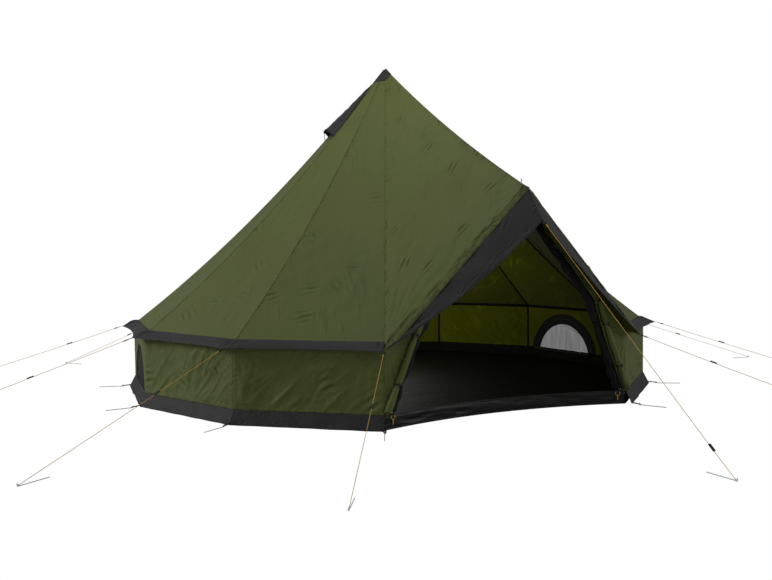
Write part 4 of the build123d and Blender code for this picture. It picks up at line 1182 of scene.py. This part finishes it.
def tube(name, path, radius, finish, sides=12, squash=1.0, tip=1.0):
    """A closed round bar along a path, flattened if squash is under one, with rounded ends.
    tip is how thick the bar is, once for the whole or once for each point."""
    path = np.array(path, float)
    along = unit(np.gradient(path, axis=0))
    first = np.cross(along, up if abs(along[0, 2]) < 0.9 else np.array([1.0, 0.0, 0.0]))
    for step in range(1, len(path)):
        first[step] = first[step - 1] - along[step] * (first[step - 1] @ along[step])
    first = unit(first)
    second = np.cross(first, along)
    around = np.linspace(0.0, 2.0 * math.pi, sides, endpoint=False)
    girth = radius * (np.ones(len(path)) * tip)
    ring = first[:, None] * np.cos(around)[:, None] + second[:, None] * (np.sin(around) * squash)[:, None]
    spots = path[:, None] + ring * girth[:, None, None]
    for end, way in ((0, -1.0), (-1, 1.0)):
        for share, push in ((0.8, 0.35), (0.4, 0.5), (0.02, 0.55)):
            disc = path[end] + ring[end] * girth[end] * share + along[end] * way * girth[end] * push
            spots = at_end(spots, disc, end)
    lay = spread(around[None] * radius, np.linspace(0.0, 1.0, len(spots))[:, None] * 0.1)
    return close_ends(patch(name, spots[:, ::-1], lay, finish, round_lay=(0.0, 0.0)))


def loop_path(centre, first, second, reach, rise, count=28):
    """A closed oval path through count points, first and last the same."""
    turns = np.linspace(0.0, 2.0 * math.pi, count)
    return centre + np.outer(np.cos(turns) * reach, first) + np.outer(np.sin(turns) * rise, second)


net_roll_finish = grained("rolled black net", srgb(20, 20, 20), 0.85, "Noise",
                          {"Scale": 160.0, "Detail": 3.0}, srgb(34, 34, 34), srgb(10, 10, 10),
                          relief=(0.6, 0.003))
webbing_finish = grained("black polyester webbing", srgb(30, 30, 31), 0.75, "Wave",
                         {"Scale": 130.0, "Distortion": 1.0}, srgb(40, 40, 42), srgb(20, 20, 21),
                         relief=(0.5, 0.0006))

flap_path, net_path = [], []
for height in (0.110, 0.480, 0.695):
    flap_path.append((jamb_line(height) + 0.026, gable_plane(height) - 0.0246, height))
    net_path.append((jamb_line(height) - 0.018, gable_plane(height) + 0.0250, height))
for height in np.linspace(0.76, band_low - 0.035, 12):
    net_path.append(((band_low - height) / gable_pitch - 0.020, gable_plane(height) + 0.0250, height))
flaps, net_rolls, tie_pieces, toggles = [], [], [], []
for side in (1.0, -1.0):
    flaps.append(roll_up("door_flap_roll", flap_path, 0.0245, olive, (0.16, 0.45), seed=930, side=side))
    # The net rolls are drawn thick and bunched (puff 0.5), partly as painted shade over the door-wall strip
    # under the visor.
    net_rolls.append(roll_up("door_net_roll", net_path, 0.0280, net_roll_finish, (0.16, 0.45, 0.72, 1.0),
                             seed=940, side=side, taper=0.8, puff=0.5))
for side in (1.0, -1.0):
    mirror = np.array([side, 1.0, 1.0])
    for height in (0.265, 0.545):
        middle = np.array([jamb_line(height) + 0.024, gable_plane(height) - 0.0235, height])
        path = loop_path(middle, tie_way, forward, 0.0205, 0.0200) * mirror
        tie_pieces.append(tube("tie", path, 0.0042, webbing_finish, sides=8, squash=0.35))
        knob = (middle + np.array([0.004, -0.0225, 0.0])) * mirror
        toggles.append(tube("toggle", [knob + up * z for z in (-0.013, 0.0, 0.013)], 0.0035, runner_finish))
for name, pieces, slot, replaced in (("door_flap_rolls_cloth", flaps, "green_cloth", "door_flap_rolls"),
                                     ("door_net_rolls_cloth", net_rolls, "mesh", "door_mesh_rolls")):
    roll = join(name, pieces)
    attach(roll, "tent")
    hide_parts(replaced)
for name, pieces, slot in (("roll_ties", tie_pieces, "webbing"), ("roll_toggles", toggles, "plastic")):
    piece = join(name, pieces)
    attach(piece, "tent")

# --- Window covers ---
# Each window's cover is zipped round the arch from inside. Here it is undone and rolled down on to the
# sill, held by two small loops.
cover_half, cover_height = 0.352, 0.0900
cover_reach = tub_radius * math.cos(half_panel) - 0.0225
covers = []
for side, index in window_panels.items():
    path = spots_at(panel_middle(index), cover_reach, np.array([-cover_half, 0.0, cover_half]), cover_height)
    covers.append(roll_up("window_cover", path, 0.0150, net_roll_finish, (0.20, 0.50), seed=950 + index,
                          taper=1.0, puff=0.14))
cover = join("window_cover_cloth", covers)
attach(cover, "tent")
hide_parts("window_cover_rolls")

# --- Corner tapes and eave tape ---
# Inside, a black tape covers the seam where the roof meets the wall, and another stands in each corner
# from the groundsheet to the eave.
eave_tape = ring_strip("eave_tape", (1.9508, 0.4640), (1.9480, 0.4905), 960, 0.0004, tape_finish, rows=6)
corner_tapes = []
for angle in corner_angles[1:-1]:
    rise, across = grid((0.092, 0.468, 24), (-0.0085, 0.0085, 5))
    spots = spots_at(angle, 1.9505 - np.abs(across) * math.tan(half_panel), across, rise)
    corner_tapes.append(patch("corner_tape", spots, np.stack([across, rise], -1), tape_finish))
for piece in (eave_tape, join("corner_tapes", corner_tapes)):
    thicken(piece, 0.0010)
    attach(piece, "tent")

# --- Line ends and rings ---
# At each tip a webbing tab is sewn round a steel ring. The line is doubled through the ring and tied off
# in a long orange knot.
steel = grained("drawn steel", srgb(176, 178, 180), 0.32, "Noise", {"Scale": 240.0, "Detail": 2.0},
                srgb(190, 192, 194), srgb(140, 142, 145), rough=(0.22, 0.45), metallic=1.0)
ring_reach, hitch_reach = 0.0352, 0.0462
wrap_start, wrap_length, wrap_radius, wrap_turns = 0.050, 0.0130, 0.0022, 25.0
tabs, rings, knots = [], [], []
for head, along in guy_lines:
    side_way = unit(np.cross(up, along))
    up_way = np.cross(along, side_way)
    start = head - along * line_head_length
    for layer in (0.0006, -0.0006):
        fold = [start + along * (0.0004 + 0.0052 * step) + up_way * layer * (1.0 if step < 4 else 1.6)
                for step in range(6)]
        tabs.append(tube("tab", fold, 0.0088, webbing_finish, sides=10, squash=0.09))
    circle = loop_path(start + along * ring_reach, along, side_way, 0.011, 0.011, 40)
    rings.append(tube("ring", circle, 0.0018, runner_finish, sides=10))
    hitch = loop_path(start + along * hitch_reach, up_way, along, 0.0040, 0.0052, 20)
    wrap = [start + along * (wrap_start + wrap_length * share)
            + side_way * wrap_radius * math.cos(share * wrap_turns)
            + up_way * wrap_radius * math.sin(share * wrap_turns) for share in np.linspace(0.0, 1.0, 60)]
    knots.append(tube("hitch", hitch, line_radius, line_finish, sides=8))
    knots.append(tube("wrap", wrap, line_radius, line_finish, sides=8))
    for strand in (-1.0, 1.0):
        loose = [head - along * (0.0034 * (6 - step) + 0.0012)
                 + side_way * strand * 0.0021 * math.sin(step * 0.55)
                 + up_way * 0.0016 * math.sin(step * 0.9) for step in range(7)]
        knots.append(tube("doubled", loose, 0.0014, line_finish, sides=8))
    tail = [start + along * (0.0528 + 0.0012 * step) + up_way * (0.0034 - 0.00004 * step * step)
            + side_way * 0.0006 * step for step in range(8)]
    knots.append(tube("tail", tail, 0.0014, line_finish, sides=8))
tab, ring, knot = join("line_tabs", tabs), join("line_rings", rings), join("line_knots", knots)
for piece, slot in ((tab, "webbing"), (ring, "steel_peg"), (knot, "line")):
    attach(piece, "tent")
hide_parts("eave_rings")

# --- Pegs, corner loops, door frame and pole ---
# Round steel pegs with bent heads, webbing loops at the skirt's corners, and steel tube for the door
# frame and the three-part pole.
galvanised = grained("dull galvanised wire", srgb(226, 228, 230), 0.7, "Noise",
                     {"Scale": 110.0, "Detail": 3.0}, srgb(240, 241, 242), srgb(205, 208, 211))
refinish(galvanised, "ground_pegs")
refinish(steel, "door_frame", "pole_section_1", "pole_section_2", "pole_section_3")
loop_profile = ((1.992, 0.0145), (2.004, 0.0125), (2.018, 0.0105), (2.032, 0.0090), (2.044, 0.0080),
                (2.056, 0.0072))
loops = []
for angle in corner_angles:
    loops.append(tube("corner_loop", [polar(angle, reach, rise) for reach, rise in loop_profile], 0.0100,
                      webbing_finish, sides=14, squash=0.36, tip=(0.9, 1.0, 1.0, 0.95, 0.9, 0.7)))
loop = join("corner_webbing", loops)
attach(loop, "tent")
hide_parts("corner_loops")

# --- Zips ---
# Coil zips: along the jambs and the threshold for the door, and round each window's arch. Each tooth is
# a small moulded bead, set on a woven tape.
zip_finish = grained("black zip coil", srgb(22, 22, 22), 0.45, "Noise", {"Scale": 300.0, "Detail": 2.0},
                     srgb(34, 34, 33), srgb(14, 14, 14))
tree, given = group_inputs("zip teeth", {"Pitch": 0.0042, "Tooth Length": 0.0024, "Tooth Width": 0.0058,
                                         "Tooth Height": 0.0024, "Route": None})
route = node(tree, "GeometryNodeObjectInfo", {"Object": given["Route"]}, output="Geometry")
path = node(tree, "GeometryNodeMeshToCurve", {"Mesh": route})
wires = {"Curve": path, "Length": given["Pitch"]}
stops = add(tree, "GeometryNodeCurveToPoints", wires, mode="LENGTH").outputs
size = node(tree, "ShaderNodeCombineXYZ",
            {0: given["Tooth Height"], 1: given["Tooth Width"], 2: given["Tooth Length"]})
tooth = node(tree, "GeometryNodeMeshCube", {"Size": size, "Vertices X": 2, "Vertices Y": 3, "Vertices Z": 2})
row = node(tree, "GeometryNodeInstanceOnPoints",
           {"Points": stops[0], "Instance": tooth, "Rotation": stops["Rotation"]})
give_out(tree, given, node(tree, "GeometryNodeRealizeInstances", {0: row}))
zip_tree = tree


def zip_along(name, spots):
    """A row of zip teeth along a route."""
    mesh = bpy.data.meshes.new("route")
    links = [(step, step + 1) for step in range(len(spots) - 1)]
    mesh.from_pydata([tuple(spot) for spot in spots], links, [])
    route = place_in_scene("route", mesh)
    teeth = grow(name, zip_tree, zip_finish, {"Route": route})
    bpy.data.objects.remove(route)
    return teeth


zip_turns = np.linspace(-arc_half * 0.985, arc_half * 0.985, 60)
zips = [zip_along("threshold_zip", doorway(zip_turns, 0.0885) + forward * 0.0008)]
for side in (1.0, -1.0):
    jamb = [(jamb_line(z), z) for z in np.linspace(0.094, jamb_knee[1], 40)]
    jamb += [((band_low - z) / gable_pitch, z) for z in np.linspace(0.703, band_low - 0.004, 40)]
    zips.append(zip_along("jamb_zip", [((x - 0.0012) * side, gable_plane(z) + 0.0006, z) for x, z in jamb]))
for side, index in window_panels.items():
    middle = window_radius + 0.0425
    rise_angle = math.asin((skirt_height + 0.012 - window_centre) / middle)
    turns = np.linspace(rise_angle, math.pi - rise_angle, 90)
    u, w = middle * np.cos(turns), window_centre + middle * np.sin(turns)
    zips.append(zip_along("window_zip", wall_spots(index, u, w, -0.0068)))
zip_row = join("zip_rows", zips)
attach(zip_row, "tent")

# --- Floor and light ---
# A plain white floor and an even studio light from above, a little stronger from the left.
floor_finish, tree, shader = finish_named("studio floor", (0.5, 0.5, 0.5, 1.0), 0.9)
seen = node(tree, "ShaderNodeLightPath", output="Is Camera Ray")
glow = node(tree, "ShaderNodeEmission", {"Strength": 1.0, "Color": (1.0, 1.0, 1.0, 1.0)})
mixed = node(tree, "ShaderNodeMixShader", {0: seen, 1: shader.outputs[0], 2: glow})
tree.links.new(mixed.socket, tree.nodes["Material Output"].inputs["Surface"])
floor = place_in_scene("studio_floor", bpy.data.meshes.new("studio_floor"))
floor.data.from_pydata([(x, y, -0.001) for x, y in ((-40, -40), (40, -40), (40, 40), (-40, 40))], [],
                       [(0, 1, 2, 3)])
floor.data.materials.append(floor_finish)

world = bpy.data.worlds.new("studio")
world.use_nodes = True
bpy.context.scene.world = world
sky = world.node_tree.nodes["Background"]
sky.inputs["Color"].default_value = (1.0, 1.0, 1.0, 1.0)
level = node(world.node_tree, "ShaderNodeLightPath", output="Is Camera Ray").ramp(0.0, 1.0, 0.22, 1.0)
world.node_tree.links.new(level.socket, sky.inputs["Strength"])


def lamp(name, spot, aim, size, power):
    """A square soft light that hangs at a spot and faces the point it is aimed at."""
    data = bpy.data.lights.new(name, "AREA")
    data.size = size
    data.energy = power
    x, y, z = np.array(aim, float) - np.array(spot, float)
    made = place_in_scene(name, data)
    made.location = spot
    made.rotation_euler = (math.atan2(math.hypot(x, y), -z), 0.0, math.atan2(y, x) - math.pi / 2.0)


lamp("key_light", (-6.3, 1.2, 2.8), (-0.8, -0.6, 0.8), 1.8, 140.0)
lamp("top_light", (-0.9, -1.1, 3.7), (-0.1, -0.5, 1.8), 1.0, 19.0)
lamp("front_light", (5.2, -5.4, 1.8), (0.6, -1.4, 0.5), 2.0, 75.0)
lamp("low_light", (-0.8, -6.2, 1.3), (-0.6, -1.7, 0.4), 1.5, 22.0)
inner_light = bpy.data.lights.new("light_through_cloth", "POINT")
inner_light.energy = 30.0
inner_light.specular_factor = 0.0
inner_light.shadow_soft_size = 0.35
place_in_scene("light_through_cloth", inner_light).location = (0.1, 0.75, 0.60)
